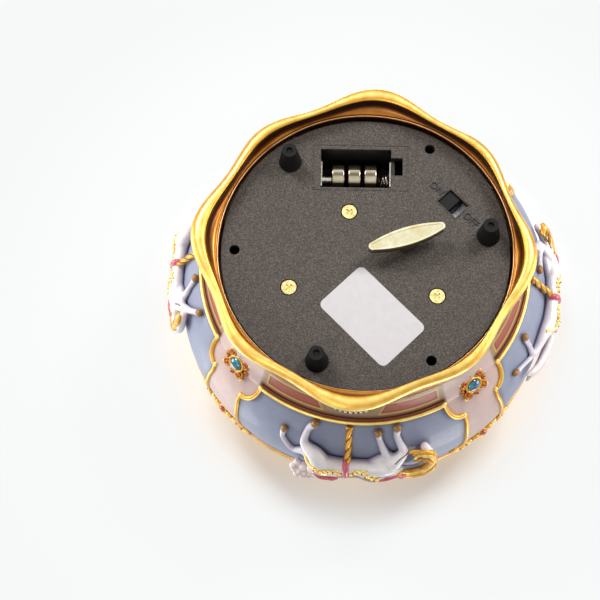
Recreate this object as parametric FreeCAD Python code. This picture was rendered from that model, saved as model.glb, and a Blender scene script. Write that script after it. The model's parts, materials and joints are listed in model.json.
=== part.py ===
import FreeCAD, Part
import math
import os

# Wind-up carousel music box, standing on its feet.
# Millimetres and degrees. +Z is up, the feet stand on z = 0, the origin is on the box's own axis,
# and the front horse panel faces -Y.

# General fits
RUN = 0.05              # radial clearance of a shaft that turns in a hole
FIX = 0.02              # radial clearance of a shaft that is fixed in a hole
BOND = 0.05             # glue line between the casting and what is glued on it
SLACK = 0.3             # room left beside a moving piece
THROUGH = 1.0           # how far a cut runs on past the face that it opens

# Base plate, its feet and its sound holes
FOOT_HEIGHT = 9.0       # from the table up to the plate's outer face
FOOT_CIRCLE = 40.5
FOOT_ANGLE = 47.2
FOOT_BASE_RADIUS = 3.8
FOOT_TIP_RADIUS = 2.4
FOOT_DIMPLE_RADIUS = 1.1
FOOT_DIMPLE_DEPTH = 0.8
FOOT_STEM_RADIUS = 1.5
FOOT_HEAD_RADIUS = 2.3
FOOT_HEAD_HEIGHT = 1.0
PLATE_RADIUS = 47.0
PLATE_THICKNESS = 2.5
PLATE_GAP = 0.6         # between the plate's edge and the rim's bore
SOUND_HOLE_RADIUS = 1.7
SOUND_HOLE_CIRCLE = 42.6
SOUND_HOLE_ANGLE = -4.4
THIRDS = (0.0, 120.0, 240.0)
LABEL_LENGTH = 29.8
LABEL_WIDTH = 19.4
LABEL_CORNER = 2.0
LABEL_THICKNESS = 0.12
LABEL_PLACE = (-4.13, -22.0)
LABEL_ANGLE = 40.8

# Wavy foot rim
RIM_DROP = 8.0          # below the plate's outer face
RIM_RISE = 0.8          # above the plate's outer face
RIM_RADIUS = 52.1
RIM_WAVE_FOUR = 1.6
RIM_WAVE_EIGHT = 1.8
RIM_POINTS = 64
RIM_CREST_INSET = 1.4   # how far the crest lies inside the widest line of the rim
RIM_CREST_DEPTH = 1.8   # from the crest up to the widest line
RIM_CREST_WAVE = 0.6    # share of the full wave at the crest
RIM_ROLL_WAVE = 0.9     # halfway from the crest to the widest line
RIM_ROLL_INSET = 0.35
RIM_HOLLOW_WAVE = 0.7   # halfway from the widest line to the neck
RIM_NECK_WAVE = 0.1     # where the rim meets the neck

# Cast body
NECK_LOW_RADIUS = 50.4
NECK_HIGH_RADIUS = 54.0
NECK_HOLLOW = 0.6       # how far the neck's face is drawn in
LINE_RISE = 11.8        # from the plate's outer face to the low gold line
LINE_RADIUS = 54.4
LINE_BEAD = 0.8
BORDER_RISE = 47.0      # from the plate's outer face to the wide gold border
BORDER_RADIUS = 62.7
BORDER_BEAD = 1.2
PANEL_BULGE = 3.9
SHOULDER_SWELL = 1.0    # how far the shoulder rounds out, and its hollow draws in
SHOULDER_LIFT = 0.8
SHOULDER_DIP = 0.4
DECK_RISE = 59.0        # from the plate's outer face to the top of the deck
DECK_RADIUS = 58.0
DECK_THICKNESS = 4.0
LEDGE_WIDTH = 2.0       # overlap of the plate on its seat
WALL = 5.0

# Top ring, light ring and turntable
TOP_RING_HEIGHT = 8.0
TOP_RING_PROUD = 0.9
TOP_RING_WIDTH = 7.0
TOP_RING_LEDGE = 1.5    # radial width of the step that carries the light ring
TOP_RING_STEP = 3.0     # height of that step over the deck
TOP_RING_BEAD = 4.8     # height of the bead round its foot
TOP_RING_ROUND = 2.2    # radial width of the rounded top edge
TOP_RING_SIDE = 0.6     # middle of that rounding, in from the side and down from the top
TOP_RING_BEVEL = 1.2    # bevel above the light ring
LIGHT_RING_WIDTH = 4.7
LIGHT_RING_HEIGHT = 3.0
TABLE_GAP = 0.8         # between the turntable and the light ring
TABLE_THICKNESS = 5.0
TABLE_UNDER = 4.0       # from the deck up to the turntable's underside
TABLE_HUB_RADIUS = 6.5
TABLE_EDGE = 1.3
SOCKET_RADIUS = 2.0
SOCKET_DEPTH = 5.0
SPINDLE_RADIUS = 2.0
SPINDLE_GRIP = 2.0      # length of spindle inside the turntable's hub
BUSH_RADIUS = 4.0
BUSH_FLANGE_RADIUS = 6.0
BUSH_FLANGE_HEIGHT = 0.8

# Lights
LED_COUNT = 6
LED_RADIUS = 2.5
LED_HEIGHT = 5.2
LED_INSET = 2.4         # lamp's axis inside the gold ring's bore
LED_ANGLE = 30.0
LED_DOME = 2.0          # rounding of the lamp's top
LED_BOARD_WIDTH = 8.0
LED_BOARD_THICKNESS = 1.6

# Winding key and its arbor
KEY_PLACE = (-13.1, 3.4)
KEY_LENGTH = 25.7
KEY_WIDTH = 6.0
KEY_END_RADIUS = 1.3
KEY_ANGLE = 157.2
KEY_FACE_RISE = 1.2     # from the table up to the key's outer face
KEY_THICKNESS = 3.0
KEY_BORDER = 0.7
KEY_FIELD_DEPTH = 0.4
KEY_STEM_RADIUS = 3.0
KEY_TO_PLATE = 0.5
ARBOR_RADIUS = 2.0
ARBOR_IN_KEY = 4.5
ARBOR_IN_SLEEVE = 2.5

# Movement screws through the base plate
SCREW_PLACES = ((6.36, 13.53), (23.43, -14.59), (-24.42, -13.34))
SCREW_HEAD_RADIUS = 2.45
SCREW_HEAD_HEIGHT = 1.4
SCREW_BORE_RADIUS = 2.85
SCREW_BORE_DEPTH = 1.5
SCREW_RADIUS = 1.5
SCREW_LENGTH = 5.0
CROSS_LENGTH = 2.6
CROSS_WIDTH = 0.6
CROSS_DEPTH = 0.7

# Battery pocket, three button cells in a row and their contacts
POCKET_PLACE = (5.56, 29.3)
POCKET_ANGLE = -4.0
POCKET_LENGTH = 23.5
POCKET_WIDTH = 14.0
POCKET_DEPTH = 16.0     # from the plate's outer face
POCKET_WALL = 1.2
NOTCH_LENGTH = 3.8
NOTCH_WIDTH = 6.4
NOTCH_SHIFT = 0.8
CELL_RADIUS = 5.8
CELL_LENGTH = 5.4
CELL_COUNT = 3
CELL_EDGE = 0.35
CELL_GAP = 0.05
CELL_RISE = 10.0        # cell axis above the plate's outer face
CONTACT_THICKNESS = 0.4
CONTACT_WIDTH = 9.0
CONTACT_HEIGHT = 11.0
CONTACT_GAP = 0.1
BUTTON_RADIUS = 1.6
SPRING_WIRE_RADIUS = 0.22
SPRING_WIDE_RADIUS = 2.6
SPRING_NARROW_RADIUS = 1.7
SPRING_TURNS = 2.5

# Slide switch
SWITCH_PLACE = (-27.37, 19.41)
SWITCH_ANGLE = 40.9     # direction from OFF to ON
SLOT_LENGTH = 8.2
SLOT_WIDTH = 6.2
KNOB_LENGTH = 4.4
KNOB_WIDTH = 5.6
KNOB_SUNK = 0.8         # from the plate's outer face in to the knob's end
KNOB_END_GAP = 0.2      # left at each end of the slot
KNOB_FLANGE = 0.6
KNOB_FLANGE_HEIGHT = 2.2
HOUSING_WALL = 1.6
HOUSING_HEIGHT = 6.0

# Movement: bedplate, bridge and pillars
BED_THICKNESS = 2.5
BED_LOW = (-28.5, -19.5)
BED_HIGH = (30.5, 12.0)
BED_LUG_RADIUS = 4.0
BED_BARREL_MARGIN = 2.0
PILLAR_PLACES = ((-25.5, -6.0), (-5.0, -15.5), (-9.0, 18.0))
PILLAR_RADIUS = 2.0
BRIDGE_THICKNESS = 1.5
BRIDGE_ROOM = 1.0       # between the cylinder's pins and the bridge
BRIDGE_LUG_RADIUS = 4.0
BRIDGE_SCREW_RADIUS = 1.2
BRIDGE_SCREW_LENGTH = 4.0
BRIDGE_SCREW_HEAD = 1.1

# Movement: spring barrel and its gears
BARREL_RADIUS = 11.0
BARREL_WALL = 0.8
BARREL_HEIGHT = 7.4
BARREL_LIFT = 0.4
MAINSPRING_STRIP = 0.35
MAINSPRING_PITCH = 1.2
MAINSPRING_INNER = 3.4
MAINSPRING_TURNS = 5
MAINSPRING_ROOM = 0.5
CROWN_TEETH = 48
CROWN_RADIUS = 10.0
CROWN_FACE = 1.6
CROWN_DISC = 1.0
CROWN_TOOTH = 1.0
CROWN_PITCH_RISE = 0.7  # from the crown's disc to its pitch plane
CROWN_TOOTH_SHARE = 0.22
SLEEVE_RADIUS = 3.0
SLEEVE_ROOM = 0.5
DRIVE_TEETH = 24
TABLE_TEETH = 30
DRIVE_THICKNESS = 2.0
DRIVE_LIFT = 0.2

# Movement: cylinder and comb
PINION_TEETH = 16
CYLINDER_RADIUS = 6.5
CYLINDER_LENGTH = 18.0
CYLINDER_ARBOR = 1.0
PIN_RADIUS = 0.25
PIN_HEIGHT = 0.4
NOTE_COUNT = 18
NOTE_PITCH = 1.0
NOTE_STEP = 47.0        # turn from one note's first pin to the next note's
BEAT_STEP = 165.0       # turn between the two pins of a note
BRACKET_THICKNESS = 1.4
BRACKET_WIDTH = 6.0
BRACKET_MARGIN = 2.2
BRACKET_GAP = 0.6
COMB_THICKNESS = 0.8
COMB_TOOTH = 5.0
COMB_BACK = 6.5
COMB_SLOT = 0.3
COMB_TO_PINS = 0.4
COMB_SCREW_RADIUS = 1.0
COMB_SCREW_HEAD = 1.2
COMB_SCREW_LENGTH = 5.0
COMB_SCREW_SHARES = (0.25, 0.75)

# Movement: governor train
WHEEL_TEETH = 48
WHEEL_MODULE = 0.3
WHEEL_THICKNESS = 1.2
WHEEL_GAP = 0.4
IDLER_PINION_TEETH = 12
IDLER_TEETH = 40
IDLER_MODULE = 0.25
IDLER_THICKNESS = 1.0
IDLER_ARBOR = 0.6
IDLER_ANGLE = -35.0
FAN_TEETH = 10
FAN_ARBOR = 0.5
FAN_ANGLE = 215.0
FAN_RADIUS = 3.0
FAN_BLADE = 0.5
FAN_BLADES = 4
FAN_LENGTH = 2.8
FRAME_PLATE = 1.4
FRAME_ROOM = 5.6        # between the governor frame's two plates
FRAME_MARGIN = 2.0

# Gear teeth, in modules and as shares of the pitch
ADDENDUM = 0.8
DEDENDUM = 1.15
TOOTH_SHARE = 0.38
FLANK_ANGLE = 20.0

# Horses, told along the panel, up from the low gold line and out from the panel's face, then the
# radius there. Along is positive towards the tail.
HORSE_TRUNK = (
    ((9.2, 18.2, 2.7, 2.9), (4.0, 16.8, 2.7, 2.7), (-3.0, 16.8, 2.6, 2.6), (-10.0, 17.0, 2.9, 3.3)),
    ((8.5, 22.4, 2.6, 2.6), (-1.0, 20.6, 2.5, 2.4), (-10.6, 21.8, 2.6, 2.9)),
    ((-6.9, 16.8, 1.4, 1.5), (-12.4, 13.2, 1.4, 1.6)),
)
# Each fore part is the neck, the head, the mane and the two forelegs; each hind part is the two
# hind legs and the tail.
ARCHED_FORE = (
    ((-12.6, 18.6, 2.7, 3.1), (-15.7, 22.4, 2.8, 2.4), (-21.0, 24.2, 2.9, 2.1), (-24.6, 20.8, 3.0, 2.2)),
    ((-24.7, 20.2, 3.0, 2.1), (-24.5, 15.3, 3.0, 2.3), (-23.8, 10.4, 2.6, 1.6)),
    ((-15.2, 22.5, 3.4, 1.5), (-20.5, 24.6, 3.6, 1.7), (-25.0, 22.0, 3.8, 1.6), (-26.2, 15.6, 3.4, 1.2)),
    ((-14.0, 14.4, 3.0, 2.6), (-17.0, 10.8, 1.8, 1.6), (-15.6, 4.4, 0.9, 1.1), (-16.0, 1.6, 1.2, 1.3)),
    ((-12.8, 14.5, 1.8, 2.0), (-10.8, 8.9, 1.0, 1.1), (-9.8, 5.2, 0.8, 1.0), (-9.6, 2.8, 1.1, 1.3)),
)
BOWED_FORE = (
    ((-12.6, 18.6, 2.7, 3.1), (-15.6, 21.6, 2.9, 2.6), (-19.0, 20.8, 3.0, 2.2)),
    ((-19.2, 20.4, 3.0, 2.1), (-19.6, 15.4, 3.1, 2.2), (-18.4, 11.0, 2.8, 1.5)),
    ((-14.0, 22.8, 3.6, 1.5), (-18.0, 22.4, 3.8, 1.6), (-21.0, 18.6, 3.6, 1.5), (-21.0, 14.4, 3.4, 1.2)),
    ((-13.6, 14.4, 2.6, 2.4), (-17.6, 9.6, 1.4, 1.4), (-20.4, 5.6, 0.9, 1.1), (-22.0, 3.2, 1.1, 1.3)),
    ((-12.4, 14.4, 1.8, 2.0), (-11.6, 8.6, 1.0, 1.2), (-10.2, 4.6, 0.8, 1.0), (-9.3, 2.4, 1.1, 1.3)),
)
LOW_FORE = (
    ((-12.6, 18.6, 2.7, 3.1), (-16.0, 20.6, 2.8, 2.4), (-19.6, 19.6, 2.9, 2.1)),
    ((-19.8, 19.2, 2.9, 2.0), (-21.4, 15.0, 2.8, 1.9), (-22.4, 11.0, 2.4, 1.5)),
    ((-14.6, 22.2, 3.4, 1.4), (-18.6, 21.4, 3.5, 1.5), (-21.8, 18.0, 3.2, 1.3)),
    ((-13.0, 14.0, 2.8, 2.4), (-14.4, 9.0, 1.6, 1.5), (-9.0, 7.0, 1.0, 1.1), (-5.6, 6.6, 1.0, 1.3)),
    ((-12.6, 14.2, 1.8, 2.0), (-16.4, 10.6, 1.0, 1.2), (-13.4, 5.6, 0.8, 1.0), (-10.8, 4.2, 1.0, 1.3)),
)
GATHERED_HIND = (
    ((8.0, 16.0, 3.1, 3.3), (9.9, 12.4, 3.0, 2.8), (14.0, 9.2, 1.5, 1.4), (13.4, 4.6, 1.0, 1.1),
     (11.5, 1.6, 1.2, 1.3)),
    ((10.3, 16.9, 1.8, 2.4), (16.7, 17.0, 0.9, 1.1), (21.2, 12.0, 0.8, 0.9), (21.2, 8.2, 1.0, 1.2)),
    ((8.6, 22.8, 2.9, 1.9), (11.2, 25.2, 2.9, 2.0), (14.0, 25.6, 3.0, 2.1), (16.0, 23.4, 2.6, 1.6)),
)
STRETCHED_HIND = (
    ((8.6, 16.4, 3.0, 3.2), (13.0, 14.6, 2.4, 2.3), (20.4, 14.6, 1.2, 1.3), (20.2, 9.0, 0.9, 1.0),
     (19.7, 4.4, 1.1, 1.3)),
    ((10.3, 17.4, 1.8, 2.4), (17.0, 15.4, 1.2, 1.5), (23.0, 13.6, 0.9, 1.1), (27.6, 11.2, 0.8, 0.9),
     (30.3, 10.2, 1.0, 1.2)),
    ((9.4, 22.6, 2.9, 1.9), (15.0, 22.6, 2.8, 1.9), (20.4, 20.6, 2.8, 2.0), (25.6, 18.4, 2.6, 1.7)),
)
JOINT_SHARE = 0.96      # a limb's radius between its rounded joints
POLE_RADIUS = 1.2
POLE_OUT = 0.9          # of its foot, over the panel
POLE_HEAD_RISE = 15.0   # its head, inside the horse's girth
POLE_HEAD_OUT = 2.6
HORSES = (
    ("horse_front", 0.0, ARCHED_FORE, GATHERED_HIND),
    ("horse_right", 90.0, BOWED_FORE, GATHERED_HIND),
    ("horse_back", 180.0, ARCHED_FORE, GATHERED_HIND),
    ("horse_left", 270.0, LOW_FORE, STRETCHED_HIND),
)
DIAGONALS = (45.0, 135.0, 225.0, 315.0)

# Jewelled flowers and border scrolls on the diagonals
FLOWER_RISE = 0.1       # from the low gold line
FLOWER_OUT = -0.9
FLOWER_TILT = 38.0      # how far its face leans down
FLOWER_RADIUS = 3.4
FLOWER_HEIGHT = 2.0
PETAL_COUNT = 8
PETAL_RADIUS = 1.5
PETAL_CIRCLE = 3.9
PETAL_SUNK = 0.4        # how far the petals lie under the middle
JEWEL_RADIUS = 2.3
JEWEL_SEAT = 0.9        # how deep the jewel sits in its flower
SCROLL_BEADS = 7
SCROLL_STEP = 2.3
SCROLL_RADIUS = 1.5
SCROLL_TAPER = 0.12
SCROLL_DROP = 1.2       # below the border
RED_JEWEL_RADIUS = 1.3
RED_JEWEL_OUT = 1.2     # from the middle bead's centre
RED_JEWEL_DROP = 0.75

# Wires inside the body
WIRE_RADIUS = 0.6
WIRE_LIFT = 0.1         # between a wire's end and what it is soldered to
WIRE_BEND = 0.45        # share of a run that its bend takes
RED_START = (14.0, 29.0)
RED_TURN = (18.0, 34.0)
RED_ANGLE = 60.0
BLACK_START = (-3.0, 29.0)
BLACK_TURNS = ((-9.0, 28.0), (-18.0, 24.0), (-24.0, 21.0))
BLACK_END = (-24.5, 20.5)
WHITE_START = (-30.0, 18.5)
WHITE_TURNS = ((-30.2, 18.7), (-34.0, 20.5))
WHITE_ANGLE = 150.0
WIRE_RISES = (4.0, 6.0, 8.0, 11.0, 17.0)

# Heights and places that follow from the sizes above
PLATE_Z = FOOT_HEIGHT
SEAT_Z = PLATE_Z + PLATE_THICKNESS
RIM_BOTTOM_Z = PLATE_Z - RIM_DROP
RIM_TOP_Z = PLATE_Z + RIM_RISE
BORE_RADIUS = PLATE_RADIUS + PLATE_GAP
LINE_Z = PLATE_Z + LINE_RISE
BORDER_Z = PLATE_Z + BORDER_RISE
DECK_Z = PLATE_Z + DECK_RISE
DECK_UNDER_Z = DECK_Z - DECK_THICKNESS
LEDGE_RADIUS = PLATE_RADIUS - LEDGE_WIDTH
TOP_RING_INNER = DECK_RADIUS - TOP_RING_WIDTH
LED_CIRCLE = TOP_RING_INNER - LED_INSET
LIGHT_RING_OUTER = TOP_RING_INNER + TOP_RING_LEDGE
LIGHT_RING_INNER = LIGHT_RING_OUTER - LIGHT_RING_WIDTH
TABLE_RADIUS = LIGHT_RING_INNER - TABLE_GAP
TABLE_UNDER_Z = DECK_Z + TABLE_UNDER
TABLE_TOP_Z = TABLE_UNDER_Z + TABLE_THICKNESS
HUB_Z = DECK_Z + BUSH_FLANGE_HEIGHT + SLACK
SPINDLE_TOP_Z = HUB_Z + SPINDLE_GRIP
KEY_X, KEY_Y = KEY_PLACE
BED_TOP_Z = SEAT_Z + BED_THICKNESS
BARREL_Z = BED_TOP_Z + BARREL_LIFT
CROWN_Z = BARREL_Z + BARREL_HEIGHT
CROWN_TOP_Z = CROWN_Z + CROWN_DISC
CROWN_MODULE = 2 * CROWN_RADIUS / CROWN_TEETH
PINION_RADIUS = CROWN_MODULE * PINION_TEETH / 2
CYLINDER_Z = CROWN_TOP_Z + CROWN_PITCH_RISE + PINION_RADIUS
BRIDGE_Z = CYLINDER_Z + CYLINDER_RADIUS + PIN_HEIGHT + BRIDGE_ROOM
BRIDGE_TOP_Z = BRIDGE_Z + BRIDGE_THICKNESS
DRIVE_Z = BRIDGE_TOP_Z + DRIVE_LIFT
DRIVE_TOP_Z = DRIVE_Z + DRIVE_THICKNESS
DRIVE_MODULE = 2 * math.hypot(KEY_X, KEY_Y) / (DRIVE_TEETH + TABLE_TEETH)
TABLE_BEARING = math.degrees(math.atan2(-KEY_Y, -KEY_X))
PINION_X = KEY_X + CROWN_RADIUS - CROWN_FACE / 2
BRACKET_X = KEY_X + BARREL_RADIUS + BRACKET_GAP
CYLINDER_X = BRACKET_X + BRACKET_THICKNESS + BRACKET_GAP
WHEEL_X = CYLINDER_X + CYLINDER_LENGTH + WHEEL_GAP
FRAME_X = WHEEL_X + WHEEL_THICKNESS + BRACKET_GAP
FRAME_FAR_X = FRAME_X + FRAME_PLATE + FRAME_ROOM
IDLER_X = FRAME_X + FRAME_PLATE + BRACKET_GAP
FAN_X = IDLER_X + IDLER_THICKNESS + BRACKET_GAP
IDLER_REACH = WHEEL_MODULE * (WHEEL_TEETH + IDLER_PINION_TEETH) / 2
FAN_REACH = IDLER_MODULE * (IDLER_TEETH + FAN_TEETH) / 2
IDLER_Y = KEY_Y + IDLER_REACH * math.cos(math.radians(IDLER_ANGLE))
IDLER_Z = CYLINDER_Z + IDLER_REACH * math.sin(math.radians(IDLER_ANGLE))
FAN_Y = IDLER_Y + FAN_REACH * math.cos(math.radians(FAN_ANGLE))
FAN_Z = IDLER_Z + FAN_REACH * math.sin(math.radians(FAN_ANGLE))
COMB_Z = CYLINDER_Z - COMB_THICKNESS / 2
COMB_TIP_Y = KEY_Y - CYLINDER_RADIUS - PIN_HEIGHT - COMB_TO_PINS
COMB_ROOT_Y = COMB_TIP_Y - COMB_TOOTH
COMB_BACK_Y = COMB_ROOT_Y - COMB_BACK
CELL_Z = PLATE_Z + CELL_RISE
KNOB_TRAVEL = SLOT_LENGTH - KNOB_LENGTH - 2 * KNOB_END_GAP

Vec = FreeCAD.Vector
UP = Vec(0, 0, 1)
ALONG_X = Vec(1, 0, 0)
ORIGIN = Vec(0, 0, 0)


def disc(radius, height, x=0.0, y=0.0, z=0.0):
    return Part.makeCylinder(radius, height, Vec(x, y, z), UP)


def rod_x(radius, length, x, y, z):
    return Part.makeCylinder(radius, length, Vec(x, y, z), ALONG_X)


def block(low, high):
    size = [b - a for a, b in zip(low, high)]
    return Part.makeBox(size[0], size[1], size[2], Vec(*low))


def centred_block(length, width, low_z, high_z):
    return block((-length / 2, -width / 2, low_z), (length / 2, width / 2, high_z))


def placed(shape, place, angle=0.0):
    """Turn a shape about the vertical and carry it to a place on the plate."""
    moved = shape.copy()
    turn = FreeCAD.Placement(Vec(place[0], place[1], 0), FreeCAD.Rotation(UP, angle))
    moved.Placement = turn.multiply(shape.Placement)
    return moved


def turned_about_axis(shape, angle):
    return placed(shape, (0.0, 0.0), angle)


def laid_along_x(shape, x, y, z):
    """Carry a shape made about the Z axis to an axis that runs along X."""
    moved = shape.copy()
    moved.Placement = FreeCAD.Placement(FreeCAD.Matrix(0, 0, 1, x, 1, 0, 0, y, 0, 1, 0, z, 0, 0, 0, 1))
    return moved


def polar(radius, angle):
    return radius * math.cos(math.radians(angle)), radius * math.sin(math.radians(angle))


def spun(start, *steps):
    """Solid of revolution about Z. A step is a point (r, z), or a middle and an end point of an arc."""
    edges = []
    here = Vec(start[0], 0, start[1])
    for step in steps:
        if isinstance(step[0], tuple):
            middle, end = (Vec(p[0], 0, p[1]) for p in step)
            edges.append(Part.Arc(here, middle, end).toShape())
        else:
            end = Vec(step[0], 0, step[1])
            edges.append(Part.LineSegment(here, end).toShape())
        here = end
    edges.append(Part.LineSegment(here, Vec(start[0], 0, start[1])).toShape())
    face = Part.Face(Part.Wire(edges))
    return face.revolve(ORIGIN, UP, 360)


def lens_wire(length, width, end_radius, z):
    """Pointed oval with rounded ends: two wide arcs closed by two small ones."""
    half = length / 2 - end_radius
    top = [Vec(-half, end_radius, z), Vec(0, width / 2, z), Vec(half, end_radius, z)]
    low = [Vec(half, -end_radius, z), Vec(0, -width / 2, z), Vec(-half, -end_radius, z)]
    arcs = [
        Part.Arc(*top),
        Part.Arc(top[2], Vec(length / 2, 0, z), low[0]),
        Part.Arc(*low),
        Part.Arc(low[2], Vec(-length / 2, 0, z), top[0]),
    ]
    return Part.Wire([arc.toShape() for arc in arcs])


def rounded_plate(length, width, corner, low_z, thickness):
    plate = centred_block(length, width, low_z, low_z + thickness)
    upright = [e for e in plate.Edges if abs(e.BoundBox.ZLength - thickness) < 1e-6]
    return plate.makeFillet(corner, upright)


def gear(teeth, module, thickness, bore, phase):
    """Spur gear about Z from z = 0, with one tooth centred on the angle phase."""
    pitch_radius = module * teeth / 2
    half_tooth = TOOTH_SHARE * math.pi * module / 2
    lean = math.tan(math.radians(FLANK_ANGLE))
    tip_radius = pitch_radius + ADDENDUM * module
    root_radius = pitch_radius - DEDENDUM * module
    tip_half = math.degrees((half_tooth - ADDENDUM * module * lean) / tip_radius)
    root_half = math.degrees((half_tooth + DEDENDUM * module * lean) / root_radius)
    corners = []
    for tooth in range(teeth):
        middle = phase + tooth * 360.0 / teeth
        for radius, half in ((root_radius, -root_half), (tip_radius, -tip_half),
                             (tip_radius, tip_half), (root_radius, root_half)):
            corners.append(Vec(*polar(radius, middle + half), 0))
    outline = Part.makePolygon(corners + corners[:1])
    blank = Part.Face(outline).extrude(Vec(0, 0, thickness))
    return blank.cut(disc(bore, thickness)) if bore else blank


def tube(points, radius):
    """Round tube along straight runs joined by tangent arcs, each as large as its runs allow."""
    points = [Vec(*p) for p in points]
    edges = []
    here = points[0]
    for before, corner, after in zip(points, points[1:], points[2:]):
        back = before - corner
        ahead = after - corner
        reach = WIRE_BEND * min(back.Length, ahead.Length)
        back.normalize()
        ahead.normalize()
        half_turn = (math.pi - back.getAngle(ahead)) / 2
        bend = reach / math.tan(half_turn)
        inward = back + ahead
        inward.normalize()
        middle = corner + inward * (bend / math.cos(half_turn) - bend)
        first = corner + back * reach
        last = corner + ahead * reach
        edges.append(Part.LineSegment(here, first).toShape())
        edges.append(Part.Arc(first, middle, last).toShape())
        here = last
    edges.append(Part.LineSegment(here, points[-1]).toShape())
    path = Part.Wire(edges)
    section = Part.Wire(Part.Circle(points[0], points[1] - points[0], radius).toShape())
    return path.makePipeShell([section], True, False)


def biarc(start, start_way, end, end_way):
    """Two tangent arcs from start to end that leave and arrive along the given directions."""
    span = end - start
    ways = start_way + end_way
    closeness = 2 * (1 - start_way.dot(end_way))
    along = span.dot(ways)
    reach = (-along + math.sqrt(along ** 2 + closeness * span.dot(span))) / closeness
    meeting = (start + start_way * reach + end - end_way * reach) * 0.5
    arcs = []
    for first, corner, last in ((start, start + start_way * reach, meeting),
                                (meeting, end - end_way * reach, end)):
        chord_middle = (first + last) * 0.5
        turn = (last - first).getAngle(corner - first)
        share = math.tan(turn / 2) / math.tan(turn)
        arcs.append(Part.Arc(first, chord_middle + (corner - chord_middle) * share, last))
    return arcs


def foot_rim():
    """Wavy gold rim: eight soft lobes, the four large ones under the horses."""
    def level(z, wave_share, inset):
        points = []
        for i in range(RIM_POINTS):
            turn = 2 * math.pi * i / RIM_POINTS
            wave = RIM_WAVE_FOUR * math.cos(4 * turn) + RIM_WAVE_EIGHT * (1 + math.cos(8 * turn))
            radius = RIM_RADIUS - RIM_WAVE_EIGHT - inset + wave_share * wave
            points.append(Vec(radius * math.cos(turn), radius * math.sin(turn), z))
        curve = Part.BSplineCurve()
        curve.interpolate(points, PeriodicFlag=True)
        return Part.Wire(curve.toShape())

    widest_z = RIM_BOTTOM_Z + RIM_CREST_DEPTH
    levels = [
        level(RIM_BOTTOM_Z, RIM_CREST_WAVE, RIM_CREST_INSET),
        level((RIM_BOTTOM_Z + widest_z) / 2, RIM_ROLL_WAVE, RIM_ROLL_INSET),
        level(widest_z, 1.0, 0.0),
        level((widest_z + RIM_TOP_Z) / 2, RIM_HOLLOW_WAVE, 0.0),
        level(RIM_TOP_Z, RIM_NECK_WAVE, 0.0),
    ]
    solid = Part.makeLoft(levels, True, False)
    bore = disc(BORE_RADIUS, RIM_DROP + RIM_RISE + 2 * THROUGH, z=RIM_BOTTOM_Z - THROUGH)
    return solid.cut(bore)


def body_face(grow=0.0):
    """Outer line of the casting from the rim up to the deck, as steps for spun()."""
    low_r, high_r = NECK_LOW_RADIUS + grow, NECK_HIGH_RADIUS + grow
    line_r, border_r = LINE_RADIUS + grow, BORDER_RADIUS + grow
    bead_low_z, bead_high_z = LINE_Z - LINE_BEAD - grow, LINE_Z + LINE_BEAD + grow
    panel_top_z = BORDER_Z - BORDER_BEAD - grow
    shoulder_z = BORDER_Z + BORDER_BEAD + grow
    deck_r = DECK_RADIUS + grow
    knee_r = (border_r + deck_r) / 2
    knee_z = (shoulder_z + DECK_Z) / 2
    return (
        (low_r, RIM_TOP_Z),
        (((low_r + high_r) / 2 - NECK_HOLLOW, (RIM_TOP_Z + bead_low_z) / 2), (high_r, bead_low_z)),
        ((line_r + LINE_BEAD, LINE_Z), (line_r, bead_high_z)),
        (((line_r + border_r) / 2 + PANEL_BULGE, (bead_high_z + panel_top_z) / 2), (border_r, panel_top_z)),
        ((border_r + BORDER_BEAD, BORDER_Z), (border_r - BORDER_BEAD / 2, shoulder_z)),
        (((border_r + knee_r) / 2 + SHOULDER_SWELL, (shoulder_z + knee_z) / 2 + SHOULDER_LIFT),
         (knee_r, knee_z + SHOULDER_SWELL)),
        (((knee_r + deck_r) / 2 - SHOULDER_SWELL, (knee_z + DECK_Z) / 2 - SHOULDER_DIP), (deck_r, DECK_Z)),
    )


def body_shell():
    """Hollow resin casting with the neck, the bulging panels, the shoulder and the deck."""
    widest = BORDER_RADIUS - WALL
    solid = spun(
        (BUSH_RADIUS, DECK_UNDER_Z),
        (DECK_RADIUS - WALL / 2, DECK_UNDER_Z),
        (widest, BORDER_Z + BORDER_BEAD),
        (widest, BORDER_Z - BORDER_BEAD),
        (LINE_RADIUS - WALL, LINE_Z),
        (LINE_RADIUS - WALL, SEAT_Z + WALL),
        (LEDGE_RADIUS, SEAT_Z + LEDGE_WIDTH),
        (LEDGE_RADIUS, SEAT_Z),
        (BORE_RADIUS, SEAT_Z),
        (BORE_RADIUS, RIM_TOP_Z),
        *body_face(),
        (BUSH_RADIUS, DECK_Z),
    )
    for i in range(LED_COUNT):
        x, y = polar(LED_CIRCLE, LED_ANGLE + 360.0 * i / LED_COUNT)
        solid = solid.cut(disc(LED_RADIUS + SLACK, DECK_THICKNESS, x, y, DECK_UNDER_Z))
    return solid


def bonding_core():
    """The casting's outer form without its hollow, grown by the glue line."""
    return spun((0.0, RIM_TOP_Z), *body_face(BOND), (0.0, DECK_Z))


def top_ring():
    outer = DECK_RADIUS + TOP_RING_PROUD
    top_z = DECK_Z + TOP_RING_HEIGHT
    step_z = DECK_Z + TOP_RING_STEP
    wall_r = LIGHT_RING_OUTER + SLACK / 2
    return spun(
        (TOP_RING_INNER, DECK_Z),
        (DECK_RADIUS, DECK_Z),
        ((outer, DECK_Z + TOP_RING_BEAD / 2), (DECK_RADIUS, DECK_Z + TOP_RING_BEAD)),
        ((DECK_RADIUS - TOP_RING_SIDE, top_z - TOP_RING_SIDE), (DECK_RADIUS - TOP_RING_ROUND, top_z)),
        (wall_r + TOP_RING_BEVEL, top_z),
        (wall_r, top_z - TOP_RING_BEVEL),
        (wall_r, step_z),
        (TOP_RING_INNER, step_z),
    )


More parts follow.
